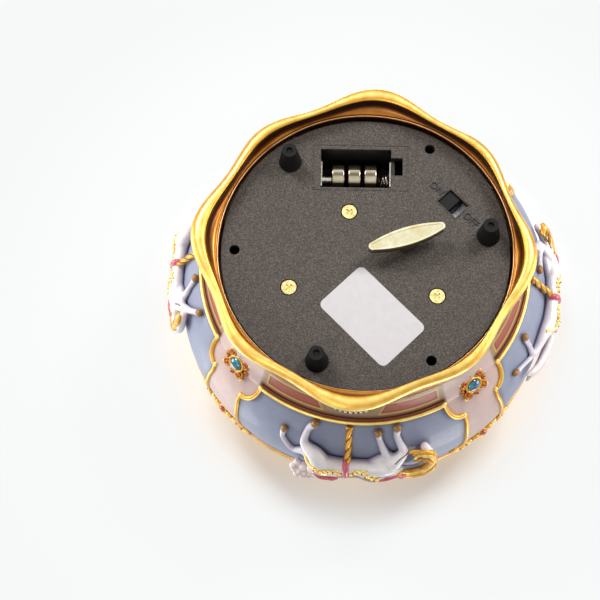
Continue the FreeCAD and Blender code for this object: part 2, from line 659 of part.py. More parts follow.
def light_ring():
    step_z = DECK_Z + TOP_RING_STEP
    ring = disc(LIGHT_RING_OUTER, LIGHT_RING_HEIGHT, z=step_z)
    return ring.cut(disc(LIGHT_RING_INNER, LIGHT_RING_HEIGHT, z=step_z))


def turntable():
    edge_r = TABLE_RADIUS - TABLE_EDGE
    table = spun(
        (0.0, HUB_Z),
        (TABLE_HUB_RADIUS, HUB_Z),
        (TABLE_HUB_RADIUS, TABLE_UNDER_Z),
        (edge_r, TABLE_UNDER_Z),
        (TABLE_RADIUS, TABLE_UNDER_Z + TABLE_EDGE),
        (TABLE_RADIUS, TABLE_TOP_Z - TABLE_EDGE),
        (edge_r, TABLE_TOP_Z),
        (0.0, TABLE_TOP_Z),
    )
    table = table.cut(disc(SPINDLE_RADIUS + FIX, SPINDLE_GRIP + FIX, z=HUB_Z))
    return table.cut(disc(SOCKET_RADIUS, SOCKET_DEPTH, z=TABLE_TOP_Z - SOCKET_DEPTH))


def spindle():
    low_z = BRIDGE_Z - DRIVE_LIFT
    return disc(SPINDLE_RADIUS, SPINDLE_TOP_Z - low_z, z=low_z)


def spindle_gear():
    half_tooth = 180.0 / TABLE_TEETH
    wheel = gear(TABLE_TEETH, DRIVE_MODULE, DRIVE_THICKNESS, SPINDLE_RADIUS + FIX,
                 TABLE_BEARING + 180.0 + half_tooth)
    wheel.translate(Vec(0, 0, DRIVE_Z))
    return wheel


def spindle_bush():
    bush = disc(BUSH_RADIUS - FIX, DECK_THICKNESS, z=DECK_UNDER_Z)
    bush = bush.fuse(disc(BUSH_FLANGE_RADIUS, BUSH_FLANGE_HEIGHT, z=DECK_Z))
    bore = disc(SPINDLE_RADIUS + RUN, DECK_THICKNESS + BUSH_FLANGE_HEIGHT, z=DECK_UNDER_Z)
    return bush.cut(bore).removeSplitter()


def led_board():
    low_z = DECK_UNDER_Z - LED_BOARD_THICKNESS
    inner = LED_CIRCLE - LED_BOARD_WIDTH / 2
    board = disc(inner + LED_BOARD_WIDTH, LED_BOARD_THICKNESS, z=low_z)
    return board.cut(disc(inner, LED_BOARD_THICKNESS, z=low_z))


def leds():
    lamps = []
    for i in range(LED_COUNT):
        x, y = polar(LED_CIRCLE, LED_ANGLE + 360.0 * i / LED_COUNT)
        lamp = disc(LED_RADIUS, LED_HEIGHT, x, y, DECK_UNDER_Z)
        top = [e for e in lamp.Edges if e.BoundBox.ZMin > DECK_UNDER_Z + LED_HEIGHT / 2]
        lamps.append(lamp.makeFillet(LED_DOME, top[:1]))
    return Part.makeCompound(lamps)


def pocket_frame(shape):
    return placed(shape, POCKET_PLACE, POCKET_ANGLE)


def base_plate():
    """Moulded plate with the battery pocket, the switch slot and the holes."""
    plate = disc(PLATE_RADIUS, PLATE_THICKNESS, z=PLATE_Z)
    pocket_top = PLATE_Z + POCKET_DEPTH
    box = centred_block(POCKET_LENGTH + 2 * POCKET_WALL, POCKET_WIDTH + 2 * POCKET_WALL,
                        PLATE_Z, pocket_top + POCKET_WALL)
    plate = plate.fuse(pocket_frame(box))
    hollow = centred_block(POCKET_LENGTH, POCKET_WIDTH, PLATE_Z - THROUGH, pocket_top)
    notch_x = -POCKET_LENGTH / 2 - NOTCH_LENGTH
    notch = block((notch_x, NOTCH_SHIFT - NOTCH_WIDTH / 2, PLATE_Z - THROUGH),
                  (0, NOTCH_SHIFT + NOTCH_WIDTH / 2, SEAT_Z))
    slot = centred_block(SLOT_LENGTH, SLOT_WIDTH, PLATE_Z - THROUGH, SEAT_Z + THROUGH)
    holes = [pocket_frame(hollow), pocket_frame(notch), placed(slot, SWITCH_PLACE, SWITCH_ANGLE)]
    holes.append(disc(ARBOR_RADIUS + SLACK, PLATE_THICKNESS, KEY_X, KEY_Y, PLATE_Z))
    for x, y in SCREW_PLACES:
        holes.append(disc(SCREW_RADIUS + RUN, PLATE_THICKNESS, x, y, PLATE_Z))
        holes.append(disc(SCREW_BORE_RADIUS, SCREW_BORE_DEPTH, x, y, PLATE_Z))
    for third in THIRDS:
        x, y = polar(SOUND_HOLE_CIRCLE, SOUND_HOLE_ANGLE + third)
        holes.append(disc(SOUND_HOLE_RADIUS, PLATE_THICKNESS, x, y, PLATE_Z))
        x, y = polar(FOOT_CIRCLE, FOOT_ANGLE + third)
        holes.append(disc(FOOT_STEM_RADIUS + FIX, PLATE_THICKNESS, x, y, PLATE_Z))
    return plate.cut(holes).removeSplitter()


def rubber_feet():
    foot = spun(
        (0.0, FOOT_DIMPLE_DEPTH),
        (FOOT_DIMPLE_RADIUS, FOOT_DIMPLE_DEPTH),
        (FOOT_DIMPLE_RADIUS, 0.0),
        (FOOT_TIP_RADIUS, 0.0),
        (FOOT_BASE_RADIUS, PLATE_Z),
        (FOOT_STEM_RADIUS, PLATE_Z),
        (FOOT_STEM_RADIUS, SEAT_Z),
        (FOOT_HEAD_RADIUS, SEAT_Z),
        (FOOT_STEM_RADIUS, SEAT_Z + FOOT_HEAD_HEIGHT),
        (0.0, SEAT_Z + FOOT_HEAD_HEIGHT),
    )
    return Part.makeCompound([placed(foot, polar(FOOT_CIRCLE, FOOT_ANGLE + third)) for third in THIRDS])


def paper_label():
    label = rounded_plate(LABEL_LENGTH, LABEL_WIDTH, LABEL_CORNER, PLATE_Z - LABEL_THICKNESS, LABEL_THICKNESS)
    return placed(label, LABEL_PLACE, LABEL_ANGLE)


def cross_headed_screw(x, y, head_z, head_radius, head_height, radius, length, way):
    """Screw with a crossed slot. The way is +1 where the shank runs up from the head, else -1."""
    axis = Vec(0, 0, way)
    screw = Part.makeCylinder(head_radius, head_height, Vec(x, y, head_z), axis)
    shank = Part.makeCylinder(radius, length, Vec(x, y, head_z + way * head_height), axis)
    screw = screw.fuse(shank).removeSplitter()
    low_z = min(head_z, head_z + way * CROSS_DEPTH)
    for length_x, length_y in ((CROSS_LENGTH, CROSS_WIDTH), (CROSS_WIDTH, CROSS_LENGTH)):
        slot = centred_block(length_x, length_y, low_z, low_z + CROSS_DEPTH)
        screw = screw.cut(placed(slot, (x, y), LABEL_ANGLE))
    return screw


def movement_screws():
    head_z = PLATE_Z + SCREW_BORE_DEPTH - SCREW_HEAD_HEIGHT
    return Part.makeCompound([
        cross_headed_screw(x, y, head_z, SCREW_HEAD_RADIUS, SCREW_HEAD_HEIGHT, SCREW_RADIUS, SCREW_LENGTH, 1)
        for x, y in SCREW_PLACES
    ])


def winding_key():
    """Oval key with a raised border on its outer face and a stem that screws on the arbor."""
    cap = Part.Face(lens_wire(KEY_LENGTH, KEY_WIDTH, KEY_END_RADIUS, KEY_FACE_RISE))
    key = cap.extrude(Vec(0, 0, KEY_THICKNESS))
    inner = 2 * KEY_BORDER
    field = Part.Face(lens_wire(KEY_LENGTH - inner, KEY_WIDTH - inner, KEY_END_RADIUS - KEY_BORDER / 2,
                                KEY_FACE_RISE))
    key = key.cut(field.extrude(Vec(0, 0, KEY_FIELD_DEPTH)))
    stem_z = KEY_FACE_RISE + KEY_THICKNESS
    stem_top = PLATE_Z - KEY_TO_PLATE
    key = key.fuse(disc(KEY_STEM_RADIUS, stem_top - stem_z, z=stem_z))
    key = key.cut(disc(ARBOR_RADIUS + FIX, ARBOR_IN_KEY, z=stem_top - ARBOR_IN_KEY))
    return placed(key.removeSplitter(), KEY_PLACE, KEY_ANGLE)


def winding_arbor():
    low_z = PLATE_Z - KEY_TO_PLATE - ARBOR_IN_KEY + FIX
    top_z = CROWN_TOP_Z + ARBOR_IN_SLEEVE
    return disc(ARBOR_RADIUS, top_z - low_z, KEY_X, KEY_Y, low_z)


def button_cells():
    cells = []
    pitch = CELL_LENGTH + CELL_GAP
    for i in range(CELL_COUNT):
        cell = disc(CELL_RADIUS, CELL_LENGTH)
        cell = cell.makeChamfer(CELL_EDGE, [e for e in cell.Edges if e.Length > CELL_RADIUS])
        low_x = (i - CELL_COUNT / 2) * pitch + CELL_GAP / 2
        cells.append(pocket_frame(laid_along_x(cell, low_x, 0, CELL_Z)))
    return Part.makeCompound(cells)


def contact_wall_x():
    return POCKET_LENGTH / 2 - CONTACT_THICKNESS - BOND


def cell_end_x():
    return CELL_COUNT * (CELL_LENGTH + CELL_GAP) / 2


def contact_plate(side):
    wall_x = contact_wall_x()
    low_x = wall_x if side > 0 else -wall_x - CONTACT_THICKNESS
    return block((low_x, -CONTACT_WIDTH / 2, CELL_Z - CONTACT_HEIGHT / 2),
                 (low_x + CONTACT_THICKNESS, CONTACT_WIDTH / 2, CELL_Z + CONTACT_HEIGHT / 2))


def positive_contact():
    start_x = cell_end_x() + CONTACT_GAP
    button = rod_x(BUTTON_RADIUS, contact_wall_x() - start_x, start_x, 0, CELL_Z)
    return pocket_frame(contact_plate(1).fuse(button).removeSplitter())


def negative_contact():
    return pocket_frame(contact_plate(-1))


def contact_spring():
    """Conical coil spring between the negative plate and the last cell."""
    margin = SPRING_WIRE_RADIUS + CONTACT_GAP
    start_x = -contact_wall_x() + margin
    length = contact_wall_x() - cell_end_x() - 2 * margin
    quarters = int(4 * SPRING_TURNS)

    def at(share):
        turn = 2 * math.pi * SPRING_TURNS * share
        radius = SPRING_WIDE_RADIUS + (SPRING_NARROW_RADIUS - SPRING_WIDE_RADIUS) * share
        return Vec(start_x + length * share, radius * math.cos(turn), CELL_Z + radius * math.sin(turn))

    def way(share):
        step = 1e-4
        tangent = at(share + step) - at(share - step)
        tangent.normalize()
        return tangent

    edges = []
    for i in range(quarters):
        a, b = i / quarters, (i + 1) / quarters
        edges += [arc.toShape() for arc in biarc(at(a), way(a), at(b), way(b))]
    section = Part.Wire(Part.Circle(at(0), way(0), SPRING_WIRE_RADIUS).toShape())
    pitch = length / SPRING_TURNS
    print("contact spring: gap between turns %.2f mm" % (pitch - 2 * SPRING_WIRE_RADIUS))
    return pocket_frame(Part.Wire(edges).makePipeShell([section], True, False))


def switch_frame(shape, shift=0.0):
    x, y = polar(shift, SWITCH_ANGLE)
    return placed(shape, (SWITCH_PLACE[0] + x, SWITCH_PLACE[1] + y), SWITCH_ANGLE)


def switch_housing():
    cavity_length = KNOB_LENGTH + 2 * KNOB_FLANGE + KNOB_TRAVEL + 2 * SLACK
    cavity_width = KNOB_WIDTH + 2 * SLACK
    housing = centred_block(cavity_length + 2 * HOUSING_WALL, cavity_width + 2 * HOUSING_WALL,
                            SEAT_Z, SEAT_Z + HOUSING_HEIGHT)
    cavity = centred_block(cavity_length, cavity_width, SEAT_Z, SEAT_Z + KNOB_FLANGE_HEIGHT + 2 * SLACK)
    return switch_frame(housing.cut(cavity))


def switch_knob():
    flange_z = SEAT_Z + SLACK
    stem = centred_block(KNOB_LENGTH, KNOB_WIDTH, PLATE_Z + KNOB_SUNK, flange_z)
    flange = centred_block(KNOB_LENGTH + 2 * KNOB_FLANGE, KNOB_WIDTH, flange_z, flange_z + KNOB_FLANGE_HEIGHT)
    return switch_frame(stem.fuse(flange).removeSplitter(), KNOB_TRAVEL / 2)


def bedplate():
    bed = block((*BED_LOW, SEAT_Z), (*BED_HIGH, BED_TOP_Z))
    lugs = [disc(BARREL_RADIUS + BED_BARREL_MARGIN, BED_THICKNESS, KEY_X, KEY_Y, SEAT_Z)]
    lugs += [disc(BED_LUG_RADIUS, BED_THICKNESS, x, y, SEAT_Z) for x, y in SCREW_PLACES + PILLAR_PLACES]
    holes = [disc(ARBOR_RADIUS + RUN, BED_THICKNESS, KEY_X, KEY_Y, SEAT_Z)]
    holes += [disc(SCREW_RADIUS + FIX, BED_THICKNESS, x, y, SEAT_Z) for x, y in SCREW_PLACES]
    return bed.fuse(lugs).cut(holes).removeSplitter()


def bridge_pillars():
    pillars = []
    for x, y in PILLAR_PLACES:
        pillar = disc(PILLAR_RADIUS, BRIDGE_Z - BED_TOP_Z, x, y, BED_TOP_Z)
        depth = BRIDGE_SCREW_LENGTH - BRIDGE_THICKNESS + SLACK
        pillars.append(pillar.cut(disc(BRIDGE_SCREW_RADIUS + FIX, depth, x, y, BRIDGE_Z - depth)))
    return Part.makeCompound(pillars)


def bridge_plate():
    first, second, third = PILLAR_PLACES
    corners = [Vec(x, y, BRIDGE_Z) for x, y in (first, second, (0.0, 0.0), third, first)]
    bridge = Part.Face(Part.makePolygon(corners)).extrude(Vec(0, 0, BRIDGE_THICKNESS))
    corner_places = PILLAR_PLACES + ((0.0, 0.0),)
    lugs = [disc(BRIDGE_LUG_RADIUS, BRIDGE_THICKNESS, x, y, BRIDGE_Z) for x, y in corner_places]
    holes = [disc(BRIDGE_SCREW_RADIUS + FIX, BRIDGE_THICKNESS, x, y, BRIDGE_Z) for x, y in PILLAR_PLACES]
    holes.append(disc(SPINDLE_RADIUS + RUN, BRIDGE_THICKNESS, z=BRIDGE_Z))
    holes.append(disc(SLEEVE_RADIUS + SLEEVE_ROOM, BRIDGE_THICKNESS, KEY_X, KEY_Y, BRIDGE_Z))
    return bridge.fuse(lugs).cut(holes).removeSplitter()


def bridge_screws():
    head_z = BRIDGE_TOP_Z + BRIDGE_SCREW_HEAD
    return Part.makeCompound([
        cross_headed_screw(x, y, head_z, PILLAR_RADIUS, BRIDGE_SCREW_HEAD, BRIDGE_SCREW_RADIUS,
                           BRIDGE_SCREW_LENGTH, -1)
        for x, y in PILLAR_PLACES
    ])


def spring_barrel():
    barrel = disc(BARREL_RADIUS, BARREL_HEIGHT, KEY_X, KEY_Y, BARREL_Z)
    hollow = disc(BARREL_RADIUS - BARREL_WALL, BARREL_HEIGHT, KEY_X, KEY_Y, BARREL_Z + BARREL_WALL)
    return barrel.cut([hollow, disc(ARBOR_RADIUS + RUN, BARREL_WALL, KEY_X, KEY_Y, BARREL_Z)])


def mainspring():
    """Flat strip wound in half circles whose centres step from side to side."""
    step = MAINSPRING_PITCH / 2
    inner = []
    outer = []
    for i in range(2 * MAINSPRING_TURNS):
        side = 1 if i % 2 == 0 else -1
        centre = -step / 2 * side
        radius = MAINSPRING_INNER + i * step
        for arcs, r in ((inner, radius), (outer, radius + MAINSPRING_STRIP)):
            reach = side * r
            arcs.append(Part.Arc(Vec(centre + reach, 0, 0), Vec(centre, reach, 0), Vec(centre - reach, 0, 0)))
    ends = [(arcs[0].StartPoint, arcs[-1].EndPoint) for arcs in (inner, outer)]
    edges = [arc.toShape() for arc in inner + outer]
    edges += [Part.LineSegment(ends[0][k], ends[1][k]).toShape() for k in (0, 1)]
    strip = Part.Face(Part.Wire(Part.__sortEdges__(edges)))
    low_z = BARREL_Z + BARREL_WALL + MAINSPRING_ROOM
    spring = strip.extrude(Vec(0, 0, CROWN_Z - MAINSPRING_ROOM - low_z))
    spring.translate(Vec(KEY_X, KEY_Y, low_z))
    return spring


def crown_wheel():
    """Lid of the barrel: a face gear for the cylinder and the sleeve that lifts the drive gear."""
    lid = disc(BARREL_RADIUS, CROWN_DISC, KEY_X, KEY_Y, CROWN_Z)
    sleeve = disc(SLEEVE_RADIUS, DRIVE_TOP_Z - CROWN_TOP_Z, KEY_X, KEY_Y, CROWN_TOP_Z)
    half = math.degrees(CROWN_TOOTH_SHARE * math.pi / CROWN_TEETH)
    near, far = CROWN_RADIUS - CROWN_FACE / 2, CROWN_RADIUS + CROWN_FACE / 2
    teeth = []
    for i in range(CROWN_TEETH):
        middle = i * 360.0 / CROWN_TEETH
        corners = [Vec(*polar(r, middle + a), CROWN_TOP_Z)
                   for r, a in ((near, -half), (far, -half), (far, half), (near, half))]
        tooth = Part.Face(Part.makePolygon(corners + corners[:1])).extrude(Vec(0, 0, CROWN_TOOTH))
        tooth.translate(Vec(KEY_X, KEY_Y, 0))
        teeth.append(tooth)
    wheel = lid.fuse([sleeve] + teeth)
    bore = disc(ARBOR_RADIUS + RUN, CROWN_DISC + ARBOR_IN_SLEEVE + SLACK, KEY_X, KEY_Y, CROWN_Z)
    return wheel.cut(bore)


def drive_gear():
    wheel = gear(DRIVE_TEETH, DRIVE_MODULE, DRIVE_THICKNESS, SLEEVE_RADIUS + FIX, TABLE_BEARING)
    wheel.translate(Vec(KEY_X, KEY_Y, DRIVE_Z))
    return wheel


def on_cylinder_axis(shape, x):
    return laid_along_x(shape, x, KEY_Y, CYLINDER_Z)


def program_cylinder():
    """Drum with small pins. The pins follow a plain rule and spell no tune."""
    drum = disc(CYLINDER_RADIUS, CYLINDER_LENGTH).cut(disc(CYLINDER_ARBOR + FIX, CYLINDER_LENGTH))
    pins = []
    for note in range(NOTE_COUNT):
        for beat in range(2):
            angle = note * NOTE_STEP + beat * BEAT_STEP
            x, y = polar(1.0, angle)
            height = NOTE_PITCH * (note + 0.5)
            root = CYLINDER_RADIUS - PIN_HEIGHT
            foot = Vec(x * root, y * root, height)
            pins.append(Part.makeCylinder(PIN_RADIUS, 2 * PIN_HEIGHT, foot, Vec(x, y, 0)))
    return on_cylinder_axis(drum.fuse(pins), CYLINDER_X)


def cylinder_arbor():
    low_x = PINION_X - SLACK
    return rod_x(CYLINDER_ARBOR, FRAME_X + FRAME_PLATE - low_x, low_x, KEY_Y, CYLINDER_Z)


def cylinder_pinion():
    wheel = gear(PINION_TEETH, CROWN_MODULE, CROWN_FACE, CYLINDER_ARBOR + FIX, -90.0 + 180.0 / PINION_TEETH)
    return on_cylinder_axis(wheel, PINION_X)


def cylinder_wheel():
    wheel = gear(WHEEL_TEETH, WHEEL_MODULE, WHEEL_THICKNESS, CYLINDER_ARBOR + FIX, IDLER_ANGLE)
    return on_cylinder_axis(wheel, WHEEL_X)


def cylinder_bracket():
    bracket = block((BRACKET_X, KEY_Y - BRACKET_WIDTH / 2, BED_TOP_Z),
                    (BRACKET_X + BRACKET_THICKNESS, KEY_Y + BRACKET_WIDTH / 2, CYLINDER_Z + BRACKET_MARGIN))
    return bracket.cut(rod_x(CYLINDER_ARBOR + RUN, BRACKET_THICKNESS, BRACKET_X, KEY_Y, CYLINDER_Z))


def comb_screw_places():
    y = (COMB_BACK_Y + COMB_ROOT_Y) / 2
    return [(CYLINDER_X + CYLINDER_LENGTH * share, y) for share in COMB_SCREW_SHARES]


def comb_rest():
    rest = block((CYLINDER_X, COMB_BACK_Y, BED_TOP_Z), (CYLINDER_X + CYLINDER_LENGTH, COMB_ROOT_Y, COMB_Z))
    depth = COMB_SCREW_LENGTH - COMB_THICKNESS + SLACK
    holes = [disc(COMB_SCREW_RADIUS + FIX, depth, x, y, COMB_Z - depth) for x, y in comb_screw_places()]
    return rest.cut(holes)


def tone_comb():
    comb = block((CYLINDER_X, COMB_BACK_Y, COMB_Z),
                 (CYLINDER_X + NOTE_COUNT * NOTE_PITCH, COMB_TIP_Y, COMB_Z + COMB_THICKNESS))
    cuts = [disc(COMB_SCREW_RADIUS + FIX, COMB_THICKNESS, x, y, COMB_Z) for x, y in comb_screw_places()]
    for note in range(1, NOTE_COUNT):
        x = CYLINDER_X + note * NOTE_PITCH
        cuts.append(block((x - COMB_SLOT / 2, COMB_ROOT_Y, COMB_Z),
                          (x + COMB_SLOT / 2, COMB_TIP_Y, COMB_Z + COMB_THICKNESS)))
    return comb.cut(cuts)


def comb_screws():
    head_z = COMB_Z + COMB_THICKNESS + COMB_SCREW_HEAD
    return Part.makeCompound([
        cross_headed_screw(x, y, head_z, 2 * COMB_SCREW_RADIUS, COMB_SCREW_HEAD, COMB_SCREW_RADIUS,
                           COMB_SCREW_LENGTH, -1)
        for x, y in comb_screw_places()
    ])


def governor_frame():
    """Two plates on one foot that carry the cylinder's far end, the idler and the fan."""
    low_y = KEY_Y - FRAME_MARGIN - CYLINDER_ARBOR
    high_y = IDLER_Y + FRAME_MARGIN
    near = block((FRAME_X, low_y, BED_TOP_Z), (FRAME_X + FRAME_PLATE, high_y, CYLINDER_Z + FRAME_MARGIN))
    far = block((FRAME_FAR_X, low_y, BED_TOP_Z), (FRAME_FAR_X + FRAME_PLATE, high_y, IDLER_Z + FRAME_MARGIN))
    foot = block((FRAME_X, high_y - FRAME_MARGIN, BED_TOP_Z), (FRAME_FAR_X, high_y, BED_TOP_Z + FRAME_PLATE))
    length = FRAME_FAR_X + FRAME_PLATE - FRAME_X
    holes = [
        rod_x(CYLINDER_ARBOR + RUN, FRAME_PLATE, FRAME_X, KEY_Y, CYLINDER_Z),
        rod_x(IDLER_ARBOR + RUN, length, FRAME_X, IDLER_Y, IDLER_Z),
        rod_x(FAN_ARBOR + RUN, length, FRAME_X, FAN_Y, FAN_Z),
    ]
    return near.fuse([far, foot]).cut(holes).removeSplitter()


def governor_wheel():
    """Idler: a pinion outside the frame and a wheel inside it, on one arbor."""
    arbor = rod_x(IDLER_ARBOR, FRAME_FAR_X + FRAME_PLATE - WHEEL_X, WHEEL_X, IDLER_Y, IDLER_Z)
    pinion = gear(IDLER_PINION_TEETH, WHEEL_MODULE, WHEEL_THICKNESS, 0,
                  IDLER_ANGLE + 180.0 + 180.0 / IDLER_PINION_TEETH)
    wheel = gear(IDLER_TEETH, IDLER_MODULE, IDLER_THICKNESS, 0, FAN_ANGLE)
    return arbor.fuse([laid_along_x(pinion, WHEEL_X, IDLER_Y, IDLER_Z),
                       laid_along_x(wheel, IDLER_X, IDLER_Y, IDLER_Z)])


def governor_fan():
    """Air brake: a pinion and four blades on a thin arbor."""
    arbor = disc(FAN_ARBOR, FRAME_FAR_X + FRAME_PLATE - FRAME_X)
    pinion = gear(FAN_TEETH, IDLER_MODULE, IDLER_THICKNESS, 0, FAN_ANGLE + 180.0 + 180.0 / FAN_TEETH)
    pinion.translate(Vec(0, 0, IDLER_X - FRAME_X))
    blades = []
    for i in range(FAN_BLADES):
        blade = block((0, -FAN_BLADE / 2, 0), (FAN_RADIUS, FAN_BLADE / 2, FAN_LENGTH))
        blade.translate(Vec(0, 0, FAN_X - FRAME_X))
        blades.append(turned_about_axis(blade, i * 360.0 / FAN_BLADES))
    return laid_along_x(arbor.fuse([pinion] + blades), FRAME_X, FAN_Y, FAN_Z)


def panel_radius(rise):
    share = max(0.0, min(1.0, rise / (BORDER_Z - LINE_Z)))
    return LINE_RADIUS + (BORDER_RADIUS - LINE_RADIUS) * share + 4 * PANEL_BULGE * share * (1 - share)


def on_panel(along, rise, out):
    """Point of the front panel, wrapped round the body at its mean radius."""
    turn = along / ((LINE_RADIUS + BORDER_RADIUS) / 2)
    radius = panel_radius(rise) + out
    return Vec(radius * math.sin(turn), -radius * math.cos(turn), LINE_Z + rise)


def seam_to_body(shape, start, way):
    """Carry a shape made about Z to a start and a direction, its seam turned to the body's axis."""
    inward = Vec(-start.x, -start.y, 0)
    shape.Placement = FreeCAD.Placement(start, FreeCAD.Rotation(inward, ORIGIN, way, "ZXY"))
    return shape


def limb(joints):
    """Chain of balls joined by cones."""
    ends = [(on_panel(a, h, o), r) for a, h, o, r in joints]
    pieces = []
    for (a, ra), (b, rb) in zip(ends, ends[1:]):
        way = b - a
        near, far = ra * JOINT_SHARE, rb * JOINT_SHARE
        if abs(ra - rb) < 1e-6:
            link = Part.makeCylinder(near, way.Length)
        else:
            link = Part.makeCone(near, far, way.Length)
        pieces.append(seam_to_body(Part.makeSphere(ra), a, way))
        pieces.append(seam_to_body(link, a, way))
    pieces.append(seam_to_body(Part.makeSphere(rb), b, way))
    return pieces


def pole(core, horse):
    """Pole from the low gold line up to the girth of its horse."""
    foot = on_panel(0.0, LINE_BEAD + BOND, POLE_OUT)
    head = on_panel(0.0, POLE_HEAD_RISE, POLE_HEAD_OUT)
    whole = Part.makeCylinder(POLE_RADIUS, (head - foot).Length, foot, head - foot)
    pieces = whole.cut([core, horse]).Solids
    return max(pieces, key=lambda piece: piece.Volume)


def horse(core, fore, hind):
    """Horse in half relief: each limb is cut back to the panel before the limbs are joined."""
    limbs = []
    for joints in HORSE_TRUNK + fore + hind:
        pieces = limb(joints)
        limbs.append(pieces[0].fuse(pieces[1:]).cut(core))
    return limbs[0].fuse(limbs[1:]).Solids[0]


def flower_place(shape):
    """Carry a shape made about Z to the low gold line at angle 0, its Z pointing out and down."""
    place = Vec(LINE_RADIUS + FLOWER_OUT, 0, LINE_Z + FLOWER_RISE)
    shape.Placement = FreeCAD.Placement(place, FreeCAD.Rotation(Vec(0, 1, 0), 90.0 + FLOWER_TILT))
    return shape


def jewel(grow=0.0):
    return Part.makeSphere(JEWEL_RADIUS + grow, Vec(0, 0, FLOWER_HEIGHT - JEWEL_SEAT))


def jewel_mounts(core):
    flower = disc(FLOWER_RADIUS, 2 * FLOWER_HEIGHT, z=-FLOWER_HEIGHT)
    petals = []
    for i in range(PETAL_COUNT):
        x, y = polar(PETAL_CIRCLE, i * 360.0 / PETAL_COUNT)
        petals.append(disc(PETAL_RADIUS, 2 * FLOWER_HEIGHT, x, y, -FLOWER_HEIGHT - PETAL_SUNK))
    flower = flower.fuse(petals).cut(jewel(BOND))
    flower = flower_place(flower).cut(core)
    return Part.makeCompound([turned_about_axis(flower, angle) for angle in DIAGONALS])


def blue_jewels(core):
    gem = flower_place(Part.makeCompound([jewel()])).cut(core)
    return Part.makeCompound([turned_about_axis(gem, angle) for angle in DIAGONALS])


def scroll_bead(i):
    """Centre and radius of a bead of the border scroll on the diagonal at angle 0."""
    step = i - (SCROLL_BEADS - 1) / 2
    turn = math.degrees(step * SCROLL_STEP / BORDER_RADIUS)
    x, y = polar(BORDER_RADIUS + BORDER_BEAD / 2, turn)
    return Vec(x, y, BORDER_Z - SCROLL_DROP), SCROLL_RADIUS - SCROLL_TAPER * abs(step)


def red_jewel():
    centre, _ = scroll_bead((SCROLL_BEADS - 1) / 2)
    return Part.makeSphere(RED_JEWEL_RADIUS, centre + Vec(RED_JEWEL_OUT, 0, -RED_JEWEL_DROP))


def border_scrolls(core):
    beads = []
    for i in range(SCROLL_BEADS):
        centre, radius = scroll_bead(i)
        beads.append(Part.makeSphere(radius, centre))
    scroll = beads[0].fuse(beads[1:]).cut([core, red_jewel()])
    return Part.makeCompound([turned_about_axis(scroll, angle) for angle in DIAGONALS])


def red_jewels(core):
    gem = red_jewel().cut(core)
    return Part.makeCompound([turned_about_axis(gem, angle) for angle in DIAGONALS])


def wire_ends():
    """Where the wires are soldered: on the pocket's roof, the switch and the light board."""
    roof_z = PLATE_Z + POCKET_DEPTH + POCKET_WALL + WIRE_LIFT
    switch_z = SEAT_Z + HOUSING_HEIGHT + WIRE_LIFT
    board_z = DECK_UNDER_Z - LED_BOARD_THICKNESS - WIRE_LIFT
    return roof_z, switch_z, board_z


def wire_red():
    roof_z, _, board_z = wire_ends()
    _, low, end_rise, high, _ = WIRE_RISES
    end = polar(LED_CIRCLE, RED_ANGLE)
    return tube(((*RED_START, roof_z), (*RED_START, roof_z + low), (*RED_TURN, roof_z + high),
                 (*end, board_z - end_rise), (*end, board_z)), WIRE_RADIUS)


def wire_black():
    roof_z, switch_z, _ = wire_ends()
    low, high, end_rise, _, _ = WIRE_RISES
    first, second, third = BLACK_TURNS
    return tube(((*BLACK_START, roof_z), (*BLACK_START, roof_z + low), (*first, roof_z + high),
                 (*second, roof_z + low), (*third, switch_z + end_rise), (*BLACK_END, switch_z)), WIRE_RADIUS)


def wire_switch():
    _, switch_z, board_z = wire_ends()
    _, _, low, _, high = WIRE_RISES
    first, second = WHITE_TURNS
    end = polar(LED_CIRCLE, WHITE_ANGLE)
    return tube(((*WHITE_START, switch_z), (*first, switch_z + low), (*second, switch_z + high),
                 (*end, board_z - low), (*end, board_z)), WIRE_RADIUS)


def build():
    core = bonding_core()
    horses, poles = {}, []
    for name, angle, fore, hind in HORSES:
        figure = horse(core, fore, hind)
        horses[name] = turned_about_axis(figure, angle)
        poles.append(turned_about_axis(pole(core, figure), angle))
    nodes = {
        "foot_rim": foot_rim(),
        "body_shell": body_shell(),
        "top_ring": top_ring(),
        "light_ring": light_ring(),
        "base_plate": base_plate(),
        "rubber_feet": rubber_feet(),
        "paper_label": paper_label(),
        "movement_screws": movement_screws(),
        "winding_key": winding_key(),
        "winding_arbor": winding_arbor(),
        "button_cells": button_cells(),
        "positive_contact": positive_contact(),
        "negative_contact": negative_contact(),
        "contact_spring": contact_spring(),
        "switch_housing": switch_housing(),
        "switch_knob": switch_knob(),
        "led_board": led_board(),
        "leds": leds(),
        "wire_red": wire_red(),
        "wire_black": wire_black(),
        "wire_switch": wire_switch(),
        "bedplate": bedplate(),
        "bridge_pillars": bridge_pillars(),
        "bridge_plate": bridge_plate(),
        "bridge_screws": bridge_screws(),
        "spring_barrel": spring_barrel(),
        "mainspring": mainspring(),
        "crown_wheel": crown_wheel(),
        "drive_gear": drive_gear(),
        "program_cylinder": program_cylinder(),
        "cylinder_arbor": cylinder_arbor(),
        "cylinder_pinion": cylinder_pinion(),
        "cylinder_wheel": cylinder_wheel(),
        "cylinder_bracket": cylinder_bracket(),
        "comb_rest": comb_rest(),
        "tone_comb": tone_comb(),
        "comb_screws": comb_screws(),
        "governor_frame": governor_frame(),
        "governor_wheel": governor_wheel(),
        "governor_fan": governor_fan(),
        "turntable": turntable(),
        "spindle": spindle(),
        "spindle_gear": spindle_gear(),
        "spindle_bush": spindle_bush(),
        "jewel_mounts": jewel_mounts(core),
        "blue_jewels": blue_jewels(core),
        "border_scrolls": border_scrolls(core),
        "red_jewels": red_jewels(core),
        "horse_poles": Part.makeCompound(poles),
    }
    nodes.update(horses)
    return nodes


